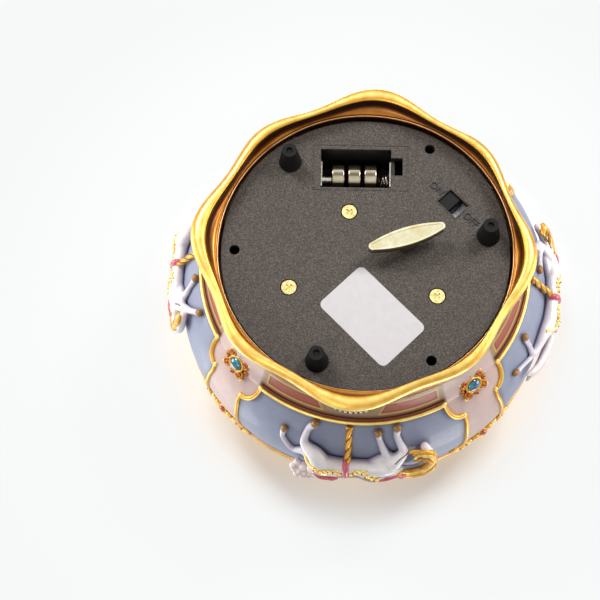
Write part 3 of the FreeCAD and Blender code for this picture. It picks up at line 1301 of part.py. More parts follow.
def main():
    os.makedirs("parts", exist_ok=True)
    for name, shape in build().items():
        shape.exportStep("parts/%s.step" % name)
        state = "ok" if shape.isValid() and shape.Solids else "BAD"
        print("%-18s solids %d  volume %9.2f  %s" % (name, len(shape.Solids), shape.Volume, state))


main()
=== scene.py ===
import bpy
import json
import math
import numpy as np
from mathutils import Matrix, Vector

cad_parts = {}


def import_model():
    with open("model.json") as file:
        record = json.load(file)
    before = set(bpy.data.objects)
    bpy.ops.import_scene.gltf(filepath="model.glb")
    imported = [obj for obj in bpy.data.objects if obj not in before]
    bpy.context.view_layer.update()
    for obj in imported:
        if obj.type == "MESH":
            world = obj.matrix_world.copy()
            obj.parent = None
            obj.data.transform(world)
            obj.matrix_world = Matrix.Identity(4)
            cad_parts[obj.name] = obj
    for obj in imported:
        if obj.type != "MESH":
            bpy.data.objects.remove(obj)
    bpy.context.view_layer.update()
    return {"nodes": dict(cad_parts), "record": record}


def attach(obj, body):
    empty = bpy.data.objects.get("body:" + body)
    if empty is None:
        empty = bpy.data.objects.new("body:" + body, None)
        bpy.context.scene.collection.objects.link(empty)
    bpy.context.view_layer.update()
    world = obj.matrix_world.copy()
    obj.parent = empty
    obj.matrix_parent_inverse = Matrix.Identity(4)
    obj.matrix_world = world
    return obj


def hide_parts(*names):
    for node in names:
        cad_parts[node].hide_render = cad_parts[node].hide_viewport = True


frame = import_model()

# Wind-up carousel music box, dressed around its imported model.
# Sizes here are millimetres and degrees in the part's own frame: +Z is up, the feet stand on z = 0
# and the front horse panel faces -Y. Meshes are scaled to metres as they are made.
MM = 0.001

# Camera, below the object as the photograph shows it
CAMERA_PLACE = (-8.07, -166.16, -409.12)
CAMERA_RIGHT = (-0.9944395, 0.1010514, 0.0296440)
CAMERA_UP = (0.0852740, 0.9378556, -0.3363856)
CAMERA_LENS = 82.81
CAMERA_SENSOR = 36.0

# Levels and radii of the casting, as in the part's source
PLATE_Z = 9.0
LINE_Z = 20.8
LINE_RADIUS = 54.4
BORDER_Z = 56.0
BORDER_RADIUS = 62.7
PANEL_BULGE = 3.9
SIDES = (0.0, 90.0, 180.0, 270.0)
DIAGONAL = 45.0

# Outer line of the painted casting without its gold lines: its start, then an end and the middle of the
# arc that leads there, as radius and height
BODY_START = (50.4, 9.8)
BODY_ARCS = (
    ((54.0, 20.0), (51.6, 14.9)), ((54.4, 21.6), (54.25, 20.8)), ((62.7, 54.8), (62.45, 38.2)),
    ((62.1, 57.2), (62.9, 56.0)), ((60.35, 63.6), (62.4, 60.7)), ((58.0, 68.0), (58.2, 64.9)),
)
HOLLOW_PROFILE = (
    (4.0, 68.0), (4.0, 64.0), (55.5, 64.0), (57.7, 57.2), (57.7, 54.8), (49.4, 20.8), (49.4, 16.5),
    (45.0, 13.5), (45.0, 11.5), (47.6, 11.5), (47.6, 9.8),
)
BODY_STEPS = 880
BODY_ROW = 0.4          # height of one row of the casting's mesh

# Blue panel's edge, as degrees from its middle and height
NOTCH_LOW = (33.0, 20.8)
NOTCH_HIGH = (38.4, 28.7)
PANEL_SIDE = (NOTCH_HIGH, (38.6, 32.0), (38.2, 36.0), (37.9, 42.0), (37.6, 48.0), (37.2, 52.0), (36.0, 54.3))
PANEL_END = (33.5, 55.6)

# Neck band: dark band, pink inset and pearl crescent, as degrees from the panel's middle and heights
BAND_RISE = (17.9, 18.5)
INSET_TURN = (10.8, 32.0)
INSET_RISE = (13.0, 17.0)
INSET_SLANT = 2.0       # degrees that its inner end leans
CRESCENT_TURN = 7.8
CRESCENT_RISE = (14.6, 17.4)
PEARL_TURN = 5.4        # degrees to the last pearl
PEARL_COUNT = 7
PEARL_RADIUS = 0.62

# Shoulder over the border: stripes, in degrees
STRIPE_STEP = 22.5
STRIPE_HALF = 5.6

# Horses, told along the panel (positive to the tail), up from the low line, out from the panel, radius
TRUNK = (
    ((9.3, 18.5, 2.6, 2.9), (6.9, 16.8, 2.9, 3.1), (3.8, 16.8, 2.7, 2.7), (-3.1, 16.8, 2.6, 2.6),
     (-6.5, 17.3, 2.7, 2.9), (-9.9, 17.0, 2.9, 3.3), (-12.6, 17.5, 2.7, 3.0)),
    ((8.5, 22.4, 2.6, 2.6), (4.4, 21.1, 2.6, 2.5), (-1.1, 20.4, 2.5, 2.4), (-6.5, 20.6, 2.6, 2.6),
     (-10.6, 21.8, 2.6, 2.9)),
    ((-6.9, 16.8, 1.4, 1.5), (-10.0, 14.2, 1.4, 1.6), (-12.8, 13.0, 1.4, 1.6)),
)
ARCHED_NECK = (
    ((-13.0, 19.3, 2.8, 3.0), (-15.7, 22.4, 2.8, 2.4), (-19.0, 24.2, 2.9, 2.1), (-22.1, 23.6, 3.0, 2.0),
     (-24.6, 20.8, 3.0, 2.1)),
    ((-24.8, 19.7, 3.0, 2.1), (-24.5, 15.3, 3.0, 2.3), (-24.1, 11.9, 2.8, 1.9), (-23.8, 10.1, 2.6, 1.5)),
)
BOWED_NECK = (
    ((-13.0, 19.0, 2.8, 3.0), (-15.6, 21.6, 2.9, 2.5), (-19.0, 20.8, 3.0, 2.2)),
    ((-19.2, 20.4, 3.0, 2.1), (-19.6, 15.4, 3.1, 2.2), (-18.9, 12.6, 2.9, 1.8), (-18.4, 10.8, 2.8, 1.5)),
)
LOW_NECK = (
    ((-13.0, 18.8, 2.8, 3.0), (-16.0, 20.6, 2.8, 2.4), (-19.6, 19.6, 2.9, 2.1)),
    ((-19.8, 19.2, 2.9, 2.0), (-21.4, 15.0, 2.8, 1.9), (-22.1, 12.4, 2.5, 1.7), (-22.4, 10.8, 2.4, 1.4)),
)
STEPPING_FORE = (
    ((-14.0, 14.4, 3.0, 2.6), (-16.6, 11.8, 2.3, 1.9), (-17.1, 10.5, 1.7, 1.55), (-16.3, 7.8, 1.1, 1.25),
     (-15.6, 4.8, 0.9, 1.15), (-15.7, 3.7, 0.9, 1.2), (-16.0, 1.6, 1.2, 1.45)),
    ((-12.8, 14.5, 1.8, 2.0), (-11.8, 12.0, 1.4, 1.5), (-10.8, 8.9, 1.0, 1.2), (-10.0, 6.0, 0.8, 1.05),
     (-9.8, 4.8, 0.8, 1.1), (-9.6, 2.8, 1.1, 1.4)),
)
REACHING_FORE = (
    ((-13.6, 14.4, 2.6, 2.4), (-16.4, 11.2, 1.8, 1.7), (-17.6, 9.6, 1.4, 1.45), (-19.2, 7.3, 1.0, 1.15),
     (-20.6, 5.2, 0.9, 1.15), (-22.0, 3.2, 1.1, 1.4)),
    ((-12.4, 14.4, 1.8, 2.0), (-11.9, 10.8, 1.2, 1.4), (-11.6, 8.6, 1.0, 1.2), (-10.8, 6.4, 0.8, 1.0),
     (-10.1, 4.4, 0.8, 1.1), (-9.3, 2.4, 1.1, 1.4)),
)
TUCKED_FORE = (
    ((-13.0, 14.0, 2.8, 2.4), (-14.6, 10.8, 2.0, 1.8), (-14.2, 8.8, 1.6, 1.5), (-11.8, 7.6, 1.2, 1.2),
     (-9.0, 7.0, 1.0, 1.1), (-7.4, 6.8, 1.0, 1.15), (-5.6, 6.4, 1.0, 1.4)),
    ((-12.6, 14.2, 1.8, 2.0), (-15.2, 12.2, 1.3, 1.5), (-16.4, 10.4, 1.0, 1.25), (-15.0, 7.8, 0.9, 1.05),
     (-13.4, 5.6, 0.8, 1.05), (-12.4, 4.9, 0.9, 1.1), (-10.8, 4.2, 1.0, 1.4)),
)
GATHERED_HIND = (
    ((7.9, 16.0, 3.2, 3.4), (9.9, 12.4, 3.0, 2.8), (12.8, 10.7, 2.2, 1.9), (14.0, 9.4, 1.5, 1.45),
     (13.8, 6.4, 1.0, 1.2), (13.1, 3.7, 1.0, 1.2), (11.5, 1.6, 1.2, 1.45)),
    ((10.3, 16.9, 1.8, 2.4), (13.4, 15.2, 1.3, 1.6), (16.7, 17.2, 0.9, 1.15), (18.7, 16.2, 0.8, 1.05),
     (21.0, 12.8, 0.8, 0.95), (21.4, 11.2, 0.8, 1.0), (21.2, 8.2, 1.0, 1.3)),
)
STRETCHED_HIND = (
    ((8.6, 16.4, 3.0, 3.2), (13.0, 14.6, 2.4, 2.3), (17.4, 14.9, 1.6, 1.7), (20.4, 14.2, 1.2, 1.3),
     (20.6, 11.6, 1.0, 1.1), (20.2, 9.0, 0.9, 1.05), (20.1, 6.6, 0.9, 1.1), (19.7, 4.4, 1.1, 1.4)),
    ((10.3, 17.4, 1.8, 2.4), (14.0, 15.8, 1.4, 1.8), (17.0, 15.4, 1.2, 1.45), (20.2, 14.9, 1.0, 1.2),
     (23.0, 13.6, 0.9, 1.05), (25.6, 12.2, 0.8, 0.95), (27.8, 11.2, 0.8, 1.0), (30.3, 10.2, 1.0, 1.3)),
)
CURLED_TAIL = tuple((curl,) for curl in (
    (9.4, 26.0, 3.4, 1.6), (11.0, 27.0, 3.4, 1.8), (12.5, 27.0, 3.5, 1.9), (14.1, 27.0, 3.7, 1.9),
    (15.5, 26.5, 3.6, 1.6), (16.2, 25.5, 3.3, 1.3), (14.5, 28.0, 4.8, 1.4), (13.0, 28.0, 4.9, 1.4),
    (11.4, 28.0, 4.6, 1.3), (9.9, 27.4, 4.3, 1.2), (10.4, 24.8, 2.4, 2.0), (13.0, 25.4, 2.3, 2.0),
    (15.2, 24.6, 1.9, 1.5),
))
STREAMING_TAIL = (
    ((9.6, 22.8, 2.9, 1.9), (13.0, 24.2, 3.2, 1.9), (17.0, 22.6, 3.2, 1.8), (21.0, 22.0, 3.0, 1.6),
     (25.0, 19.4, 2.6, 1.2), (27.2, 19.6, 2.2, 0.7)),
    ((10.0, 21.6, 3.4, 1.6), (14.0, 22.2, 3.9, 1.6), (18.0, 20.6, 3.8, 1.5), (21.8, 19.6, 3.4, 1.4),
     (24.6, 17.4, 3.0, 1.1), (26.8, 16.8, 2.2, 0.6)),
    ((12.0, 23.4, 4.2, 1.2), (15.6, 23.6, 4.6, 1.3), (19.2, 21.8, 4.5, 1.2), (22.8, 20.8, 4.1, 1.1),
     (25.8, 18.0, 3.2, 0.8)),
)
HORSES = (
    # side, degrees, neck and head, legs, tail, share of the relief, and how the head lies
    ("front", 0.0, ARCHED_NECK, STEPPING_FORE + GATHERED_HIND, CURLED_TAIL, 1.0, (1.0, 0.0, 20.8, 1.0)),
    ("right", 90.0, BOWED_NECK, REACHING_FORE + GATHERED_HIND, CURLED_TAIL, 0.86, (0.55, 0.0, 20.6, 0.94)),
    ("back", 180.0, ARCHED_NECK, STEPPING_FORE + GATHERED_HIND, CURLED_TAIL, 0.7, (1.0, 0.0, 20.8, 1.0)),
    ("left", 270.0, LOW_NECK, TUCKED_FORE + STRETCHED_HIND, STREAMING_TAIL, 0.86, (0.585, 0.31, 19.6, 0.83)),
)
HOOF_REACH = 1.6
HORSE_SHADE_REACH = 1.7     # how far the paint beside a horse lies in its shade
HORSE_SHADE_SHARE = 0.42
HORSE_HALF = 38.0       # a horse lies within this of its panel's middle
HORSE_DEPTH = 35.0      # and beyond this from the axis
NECK_ALONG = -12.6      # where the neck leaves the trunk
POLL_RISE = 20.8
EARS = (
    ((-23.6, 22.4, 4.2, 0.8), (-23.2, 23.8, 4.7, 0.55), (-23.0, 24.8, 5.0, 0.2)),
    ((-25.2, 21.6, 4.2, 0.8), (-25.4, 23.0, 4.7, 0.55), (-25.5, 24.0, 5.0, 0.2)),
)
VOXEL = 0.32
SMOOTHING = 5
MANE = (
    ((-15.0, 19.1, 5.2, 0.8), (-17.4, 21.7, 4.8, 1.0), (-20.4, 22.9, 4.9, 1.1), (-23.1, 21.7, 5.1, 1.1),
     (-25.3, 18.7, 5.1, 1.0), (-26.2, 17.1, 4.4, 0.6)),
    ((-15.7, 19.3, 4.7, 0.7), (-18.5, 21.9, 4.4, 1.0), (-21.3, 22.0, 4.4, 1.0), (-23.6, 19.5, 4.8, 1.0),
     (-25.4, 15.6, 5.2, 0.8), (-25.8, 13.9, 4.7, 0.5)),
    ((-16.9, 20.4, 3.8, 0.6), (-19.7, 22.0, 3.6, 0.9), (-22.1, 20.8, 3.9, 0.9), (-23.8, 15.6, 5.3, 0.8),
     (-24.9, 13.7, 5.2, 0.5)),
    ((-26.1, 18.1, 4.6, 0.8), (-26.0, 14.2, 4.6, 0.9), (-25.0, 11.2, 4.6, 0.9), (-23.1, 10.4, 4.2, 0.8),
     (-21.3, 11.5, 2.9, 0.7), (-20.0, 12.5, 3.0, 0.4)),
    ((-25.4, 14.7, 5.3, 0.8), (-24.6, 12.4, 5.0, 0.9), (-23.2, 11.6, 4.6, 0.9), (-21.6, 13.0, 3.2, 0.8),
     (-20.2, 14.0, 3.4, 0.5)),
    ((-25.2, 17.0, 5.2, 0.7), (-23.8, 13.9, 5.2, 0.9), (-22.5, 15.0, 3.7, 0.8), (-21.0, 15.6, 3.3, 0.6),
     (-20.2, 16.0, 3.4, 0.3)),
    ((-22.0, 10.8, 3.4, 0.6), (-19.6, 10.5, 3.0, 0.7), (-18.5, 10.5, 3.1, 0.4)),
    ((-24.8, 10.8, 4.2, 0.6), (-26.2, 13.6, 3.9, 0.7), (-26.5, 17.0, 3.7, 0.6)),
)

# Harness: each line a chain like a limb
STRAP = ((12.4, 12.4, 4.0, 0.55), (11.4, 14.6, 4.9, 0.6), (9.6, 15.4, 6.1, 0.65), (7.6, 16.0, 6.6, 0.65),
         (6.0, 18.0, 5.8, 0.6))
STRAP_EDGE = ((13.0, 13.0, 3.4, 0.35), (12.0, 15.6, 4.2, 0.4), (10.2, 17.0, 5.5, 0.4), (8.3, 18.6, 6.0, 0.4),
              (6.6, 20.6, 5.3, 0.35))
GARLAND = ((8.6, 15.2, 6.5), (7.2, 15.6, 6.6), (5.9, 16.1, 6.0), (4.6, 16.2, 5.7), (3.2, 16.6, 5.4),
           (1.9, 18.0, 5.0), (-1.2, 17.8, 4.9), (-2.5, 16.0, 5.2), (-3.8, 15.6, 5.1), (-5.1, 16.0, 5.3),
           (-6.0, 17.4, 5.7), (-7.2, 19.4, 5.5), (-8.6, 20.4, 5.5))
GARLAND_RADIUS = 0.8
LACE = ((2.1, 20.1, 5.1, 0.4), (0.7, 20.1, 5.0, 0.45), (-1.2, 19.4, 5.0, 0.45), (-3.5, 19.6, 4.9, 0.45),
        (-5.3, 21.4, 5.0, 0.45), (-7.2, 22.4, 5.2, 0.45), (-9.1, 22.2, 5.3, 0.4))
RIBBONS = (
    ((9.0, 21.4, 5.1, 0.6), (8.1, 23.0, 5.0, 0.8), (6.7, 23.4, 5.1, 0.85), (5.3, 23.2, 5.0, 0.8),
     (4.0, 23.2, 5.0, 0.8), (2.7, 22.2, 4.8, 0.6)),
    ((-9.1, 22.0, 5.3, 0.5), (-11.3, 20.9, 5.6, 0.55), (-13.6, 18.8, 5.9, 0.55), (-15.7, 20.1, 5.2, 0.6),
     (-17.8, 21.6, 4.6, 0.5)),
    ((-14.8, 19.2, 5.5, 0.6), (-15.6, 20.4, 5.4, 0.85), (-16.6, 20.6, 5.1, 0.8), (-16.0, 19.4, 5.3, 0.6)),
)
REIN = ((-18.6, 10.2, 3.2, 0.22), (-17.5, 10.4, 3.8, 0.22), (-16.3, 10.8, 4.2, 0.22),
        (-15.2, 11.4, 4.6, 0.22), (-14.2, 12.2, 5.0, 0.22))
GIRTH = ((0.4, 14.0, 2.4, 1.0), (0.4, 13.9, 3.4, 1.05), (0.4, 14.2, 4.5, 1.1), (0.3, 15.6, 5.2, 1.1),
         (0.3, 18.6, 5.0, 1.1), (0.3, 20.0, 4.7, 0.8))
POLE_RISE = (0.85, 14.4)
POLE_OUT = (0.9, 2.6)
POLE_RADIUS = 1.2
POLE_TWISTS = 3.4
POLE_ROWS = 60
POLE_AROUND = 24


def srgb(red, green, blue):
    """Linear colour of an ordinary 0 to 255 colour."""
    def linear(value):
        value /= 255.0
        return value / 12.92 if value <= 0.04045 else ((value + 0.055) / 1.055) ** 2.4
    return (linear(red), linear(green), linear(blue), 1.0)


GOLD = srgb(226, 170, 62)
PALE_GOLD = srgb(246, 214, 122)
DEEP_GOLD = srgb(176, 112, 28)
LACE_GOLD = srgb(240, 216, 140)
BROWN = srgb(84, 42, 14)
UMBER = srgb(58, 22, 8)
TAN = srgb(150, 92, 34)
# Colour of the painted highlights on the cells
CELL_HIGHLIGHT = srgb(238, 228, 204)
RED_BROWN = srgb(112, 44, 26)
PEACH = srgb(232, 182, 128)
BLUE = srgb(141, 148, 172)
# Painted shade colour for the blue panel's edges
BLUE_SHADE = srgb(88, 96, 110)
# Painted shade colour beside the horses, and on them near the panel
SLATE_SHADE = srgb(98, 100, 118)
CREAM = srgb(204, 178, 170)
# Darker cream: random tone of the painted resin, and painted shade near the foot rim, beside the panel's gold
# lines and above the border
CREAM_SHADE = srgb(182, 152, 122)
OLIVE = srgb(152, 124, 86)
BAND = srgb(92, 46, 18)
PINK = srgb(158, 68, 44)
PEARL = srgb(238, 232, 226)
WHITE = srgb(244, 240, 241)
# Lavender: random tone of the horses' glaze, and their painted shade near the panel
LAVENDER = srgb(186, 178, 204)
# Painted shade colour for the creases of the tails
TAIL_CREASE_SHADE = srgb(196, 150, 142)
HOOF = srgb(150, 104, 40)
ROSE = srgb(206, 86, 104)
BLUSH = srgb(240, 206, 198)
MANE_PAINT = (GOLD, PALE_GOLD, srgb(206, 150, 60))


# Mesh helpers
TUBE_CAP = (25, 50, 80)     # degrees round a tube's end at which it has a ring


def lerp(a, b, share):
    return np.asarray(a) * (1 - share) + np.asarray(b) * share


def smoothstep(low, high, value):
    share = np.clip((value - low) / (high - low), 0.0, 1.0)
    return share * share * (3 - 2 * share)


def panel_radius(rise):
    share = np.clip(rise / (BORDER_Z - LINE_Z), 0.0, 1.0)
    return LINE_RADIUS + (BORDER_RADIUS - LINE_RADIUS) * share + 4 * PANEL_BULGE * share * (1 - share)


def on_panel(along, rise, out):
    """Point of the front panel, wrapped round the body at its mean radius."""
    turn = along / ((LINE_RADIUS + BORDER_RADIUS) / 2)
    radius = panel_radius(rise) + out
    return np.array((radius * math.sin(turn), -radius * math.cos(turn), LINE_Z + rise))


def arc(start, middle, end, steps=16):
    """Points after the start on the arc through three points."""
    a, b, c = (complex(*point) for point in (start, middle, end))
    ratio = (c - a) / (b - a)
    centre = a + (b - a) * (ratio - abs(ratio) ** 2) / (2j * ratio.imag)
    sweep = np.angle((c - centre) / (b - centre)) + np.angle((b - centre) / (a - centre))
    line = centre + (a - centre) * np.exp(1j * sweep * np.linspace(0, 1, steps + 1)[1:])
    return [(point.real, point.imag) for point in line]


def body_profile():
    points = [BODY_START]
    for end, middle in BODY_ARCS:
        points += arc(points[-1], middle, end)
    return points


BODY_PROFILE = body_profile()


def body_radius(height):
    radius, heights = np.array(BODY_PROFILE).T
    return np.interp(height, heights, radius)


def on_body(turn, height, out=0.0):
    """Point of the casting at degrees from the front panel's middle, positive to +X."""
    radius = body_radius(height) + out
    angle = math.radians(turn)
    return np.array((radius * math.sin(angle), -radius * math.cos(angle), height))


def turned(points, angle):
    c, s = math.cos(math.radians(angle)), math.sin(math.radians(angle))
    return np.asarray(points) @ np.array(((c, s, 0), (-s, c, 0), (0, 0, 1)))


def pressed(points, share):
    """Points drawn in towards the panel, to a share of how far they stand out from it."""
    reach = np.hypot(points[:, 0], points[:, 1])
    panel = panel_radius(points[:, 2] - LINE_Z)
    wanted = np.where(reach > panel, panel + share * (reach - panel), reach)
    return points * np.stack((wanted / reach, wanted / reach, np.ones(len(points))), axis=-1)


def at_head(joints, lie):
    """Joints told for the arched head, carried to where another horse holds its head."""
    scale, shear, level, lift = lie
    rows = np.array(joints, float)
    beyond = smoothstep(NECK_ALONG, NECK_ALONG - 4.0, rows[:, 0])
    along = NECK_ALONG + scale * (rows[:, 0] - NECK_ALONG) + shear * (rows[:, 1] - POLL_RISE)
    rise = level + lift * (rows[:, 1] - POLL_RISE)
    rows[:, 0] += beyond * (along - rows[:, 0])
    rows[:, 1] += beyond * (rise - rows[:, 1])
    return rows


def smooth_line(points, per_span=8):
    """Catmull-Rom line through rows of numbers."""
    rows = np.asarray(points, float)
    padded = np.vstack((2 * rows[0] - rows[1], rows, 2 * rows[-1] - rows[-2]))
    line = []
    for i in range(len(rows) - 1):
        a, b, c, d = padded[i:i + 4]
        for k in range(per_span):
            t = k / per_span
            line.append(0.5 * (2 * b + (c - a) * t + (2 * a - 5 * b + 4 * c - d) * t ** 2
                               + (3 * b - a - 3 * c + d) * t ** 3))
    line.append(rows[-1])
    return np.array(line)


def linked(name, data):
    """New object in the scene."""
    made = bpy.data.objects.new(name, data)
    bpy.context.scene.collection.objects.link(made)
    return made


def coat(mesh, colours):
    """Smooth shading, and a colour for each vertex."""
    layer = mesh.color_attributes.new("paint", "FLOAT_COLOR", "POINT")
    layer.data.foreach_set("color", colours.ravel())
    mesh.polygons.foreach_set("use_smooth", [True] * len(mesh.polygons))


class Form:
    """Vertices, faces and vertex colours that grow piece by piece."""

    def __init__(self):
        self.points, self.faces, self.colours, self.count = [], [], [], 0

    def add(self, points, faces, colour):
        points = np.asarray(points, float)
        colours = np.broadcast_to(np.asarray(colour, float), (len(points), 4))
        self.points.append(points)
        self.colours.append(np.array(colours))
        self.faces += [tuple(i + self.count for i in face) for face in faces]
        self.count += len(points)

    def grid(self, rows, colour, closed_across=True, closed_along=False, caps=False):
        """Rows of equally many points, joined in order. Colours may be given one for each point."""
        rows = np.asarray(rows, float)
        n, m = rows.shape[:2]
        faces = []
        for i in range(n if closed_along else n - 1):
            j = (i + 1) % n
            for k in range(m if closed_across else m - 1):
                l = (k + 1) % m
                faces.append((i * m + k, i * m + l, j * m + l, j * m + k))
        if caps:
            faces.append(tuple(reversed(range(m))))
            faces.append(tuple(range((n - 1) * m, n * m)))
        colour = np.asarray(colour, float)
        self.add(rows.reshape(-1, 3), faces, colour.reshape(-1, 4) if colour.ndim > 1 else colour)

    def tube(self, line, radii, colour, around=12):
        """Round tube along a line of points, with rounded ends."""
        line = np.asarray(line, float)
        radii = np.broadcast_to(np.asarray(radii, float), len(line)).copy()
        tangents = np.gradient(line, axis=0)
        tangents /= np.linalg.norm(tangents, axis=1)[:, None]
        side = np.cross(tangents[0], (0.3, 0.5, 0.81))
        turns = np.linspace(0, 2 * math.pi, around, endpoint=False)

        def ring(centre, radius, tangent):
            nonlocal side
            side = side - tangent * side.dot(tangent)
            side /= np.linalg.norm(side)
            other = np.cross(tangent, side)
            return centre + radius * (np.cos(turns)[:, None] * side + np.sin(turns)[:, None] * other)

        def cap(end, way, angle):
            beyond = way * tangents[end] * radii[end] * math.sin(math.radians(angle))
            return line[end] + beyond, radii[end] * math.cos(math.radians(angle)), tangents[end]

        steps = [cap(0, -1, angle) for angle in reversed(TUBE_CAP)]
        steps += zip(line, radii, tangents)
        steps += [cap(-1, 1, angle) for angle in TUBE_CAP]
        self.grid([ring(*step) for step in steps], colour, caps=True)

    def chain(self, joints, colour, per_span=6, around=12):
        """Limb through joints told on the panel."""
        line = smooth_line(joints, per_span)
        self.tube([on_panel(*row[:3]) for row in line], line[:, 3], colour, around)

    def ball(self, centre, radius, colour, flat=(1, 1, 1), axes=np.eye(3), rings=8, around=14):
        """Ball, or an ellipsoid whose half axes are the radius times flat along the rows of axes."""
        lean = math.pi * np.arange(rings - 1, 0, -1)[:, None] / rings
        turn = 2 * math.pi * np.arange(around) / around
        local = np.broadcast_arrays(np.sin(lean) * np.cos(turn), np.sin(lean) * np.sin(turn), np.cos(lean))
        self.grid(centre + radius * (np.stack(local, axis=-1) * flat) @ axes, colour, caps=True)

    def take(self, other, angle, share=1.0):
        """Another form, its relief pressed to a share and turned to an angle."""
        points = pressed(np.vstack(other.points), share)
        self.add(turned(points, angle), other.faces, np.vstack(other.colours))

    def four(self):
        """The same form on all four sides."""
        whole = Form()
        for angle in SIDES:
            whole.take(self, angle)
        return whole

    def mesh(self, name):
        made = bpy.data.meshes.new(name)
        made.from_pydata((np.vstack(self.points) * MM).tolist(), [], self.faces)
        return made

    def piece(self, name, material, slot, body="case"):
        mesh = self.mesh(name)
        coat(mesh, np.vstack(self.colours))
        mesh.validate()
        mesh.update()
        return place(name, mesh, material, slot, body)


def place(name, mesh, material, slot, body="case"):
    """Piece that rides on a body, with its material; its slot is not used."""
    piece = linked(name, mesh)
    mesh.materials.clear()
    mesh.materials.append(material)
    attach(piece, body)
    return piece


def spun_rows(profile, steps, row):
    """Rows round the axis, evenly spaced along a profile, with each row's radius and height."""
    line = []
    for (r0, z0), (r1, z1) in zip(profile, profile[1:]):
        count = max(1, int(math.hypot(r1 - r0, z1 - z0) / row))
        line += [(lerp(r0, r1, k / count), lerp(z0, z1, k / count)) for k in range(count)]
    line.append(profile[-1])
    radius, height = np.array(line).T
    angle = np.linspace(0, 360, steps, endpoint=False)
    around = np.radians(angle)[None, :]
    rows = np.stack((radius[:, None] * np.sin(around), -radius[:, None] * np.cos(around),
                     np.broadcast_to(height[:, None], (len(line), steps))), axis=-1)
    return rows, radius, height, angle


# Materials
def shader_node(tree, kind, links=(), values=(), **settings):
    """New node with its settings, and its links and values by input."""
    node = tree.nodes.new("ShaderNode" + kind)
    for name, value in settings.items():
        setattr(node, name, value)
    for name, value in dict(values).items():
        node.inputs[name].default_value = value
    for name, source in dict(links).items():
        tree.links.new(source, node.inputs[name])
    return node


class Finish:
    """Material whose colour, roughness and relief come from noise at the object's own scale."""

    def __init__(self, name, metallic=0.0, coat=0.0, specular=0.5):
        self.material = bpy.data.materials.new(name)
        self.material.use_nodes = True
        self.tree = self.material.node_tree
        self.shader = self.tree.nodes["Principled BSDF"]
        self.set({"Metallic": metallic, "Coat Weight": coat, "Specular IOR Level": specular})
        self.where = self.node("TexCoord").outputs["Object"]

    def node(self, kind, links=(), values=(), **settings):
        return shader_node(self.tree, kind, links, values, **settings)

    def set(self, values):
        for name, value in values.items():
            self.shader.inputs[name].default_value = value

    def feed(self, name, source):
        self.tree.links.new(source, self.shader.inputs[name])
        return self

    def noise(self, grain, detail=3.0, stretch=None):
        """Noise with features about as large as the grain."""
        source = self.where
        if stretch:
            source = self.node("Mapping", {"Vector": source}, {"Scale": stretch}).outputs["Vector"]
        values = {"Scale": 1.0 / (grain * MM), "Detail": detail}
        return self.node("TexNoise", {"Vector": source}, values).outputs["Fac"]

    def ramp(self, fac, *stops):
        node = self.node("ValToRGB", {"Fac": fac})
        ends = node.color_ramp.elements
        while len(ends) < len(stops):
            ends.new(0.5)
        for end, (place, colour) in zip(ends, stops):
            end.position = place
            end.color = colour
        return node.outputs["Color"]

    def shades(self, grain, *colours, detail=3.0, spread=(0.3, 0.7)):
        """Base colour that wanders between the given colours."""
        places = np.linspace(*spread, len(colours))
        return self.feed("Base Color", self.ramp(self.noise(grain, detail), *zip(places, colours)))

    def times(self, colour, share):
        """Base colour from a colour and what it is multiplied by."""
        links = {"A": colour, "B": share}
        mix = self.node("Mix", links, {"Factor": 1.0}, data_type="RGBA", blend_type="MULTIPLY")
        return self.feed("Base Color", mix.outputs["Result"])

    def painted(self, grain, worn, spread=(0.35, 0.65)):
        """Base colour from the mesh's own paint, darkened in patches."""
        paint = self.node("Attribute", attribute_name="paint").outputs["Color"]
        return self.times(paint, self.ramp(self.noise(grain), (spread[0], worn), (spread[1], (1, 1, 1, 1))))

    def rough(self, grain, low, high, stretch=None):
        source = self.noise(grain, 2.0, stretch)
        node = self.node("MapRange", {"Value": source}, {"To Min": low, "To Max": high})
        return self.feed("Roughness", node.outputs["Result"])

    def painted_shade_inside(self, start, end, share):
        """Painted shade: base colour falls to a share of itself between two heights."""
        height = self.node("SeparateXYZ", {0: self.where}).outputs["Z"]
        ends = {"From Min": start * MM, "From Max": end * MM, "To Min": 1.0, "To Max": share}
        fall = self.node("MapRange", {"Value": height}, ends).outputs["Result"]
        return self.times(self.shader.inputs["Base Color"].links[0].from_socket, fall)

    def relief(self, grain, depth):
        height = self.noise(grain)
        node = self.node("Bump", {"Height": height}, {"Strength": 1.0, "Distance": depth * MM})
        return self.feed("Normal", node.outputs["Normal"])


PAINTED_FINISHES = (
    # name, metallic, coat, grain and colour of the worn patches, roughness, relief
    ("gilt", 0.72, 0.15, (4.0, (0.84, 0.74, 0.60, 1)), (2.0, 0.24, 0.40), (1.2, 0.03)),
    ("enamel", 0.0, 0.12, (7.0, (0.90, 0.90, 0.92, 1)), (3.0, 0.42, 0.58), (0.9, 0.025)),
    ("glaze", 0.0, 0.35, (3.0, (0.93, 0.92, 0.94, 1)), (2.0, 0.30, 0.45), (0.8, 0.03)),
    ("turntable_resin", 0.0, 0.2, (6.0, (0.92, 0.90, 0.90, 1)), (3.0, 0.38, 0.52), (1.0, 0.03)),
    ("mane_gold", 0.45, 0.0, (1.5, (0.72, 0.62, 0.48, 1)), (1.0, 0.32, 0.5), (0.5, 0.06)),
    ("cell_chrome", 1.0, 0.0, (3.0, (0.86, 0.82, 0.74, 1)), (1.0, 0.12, 0.24), None),
)
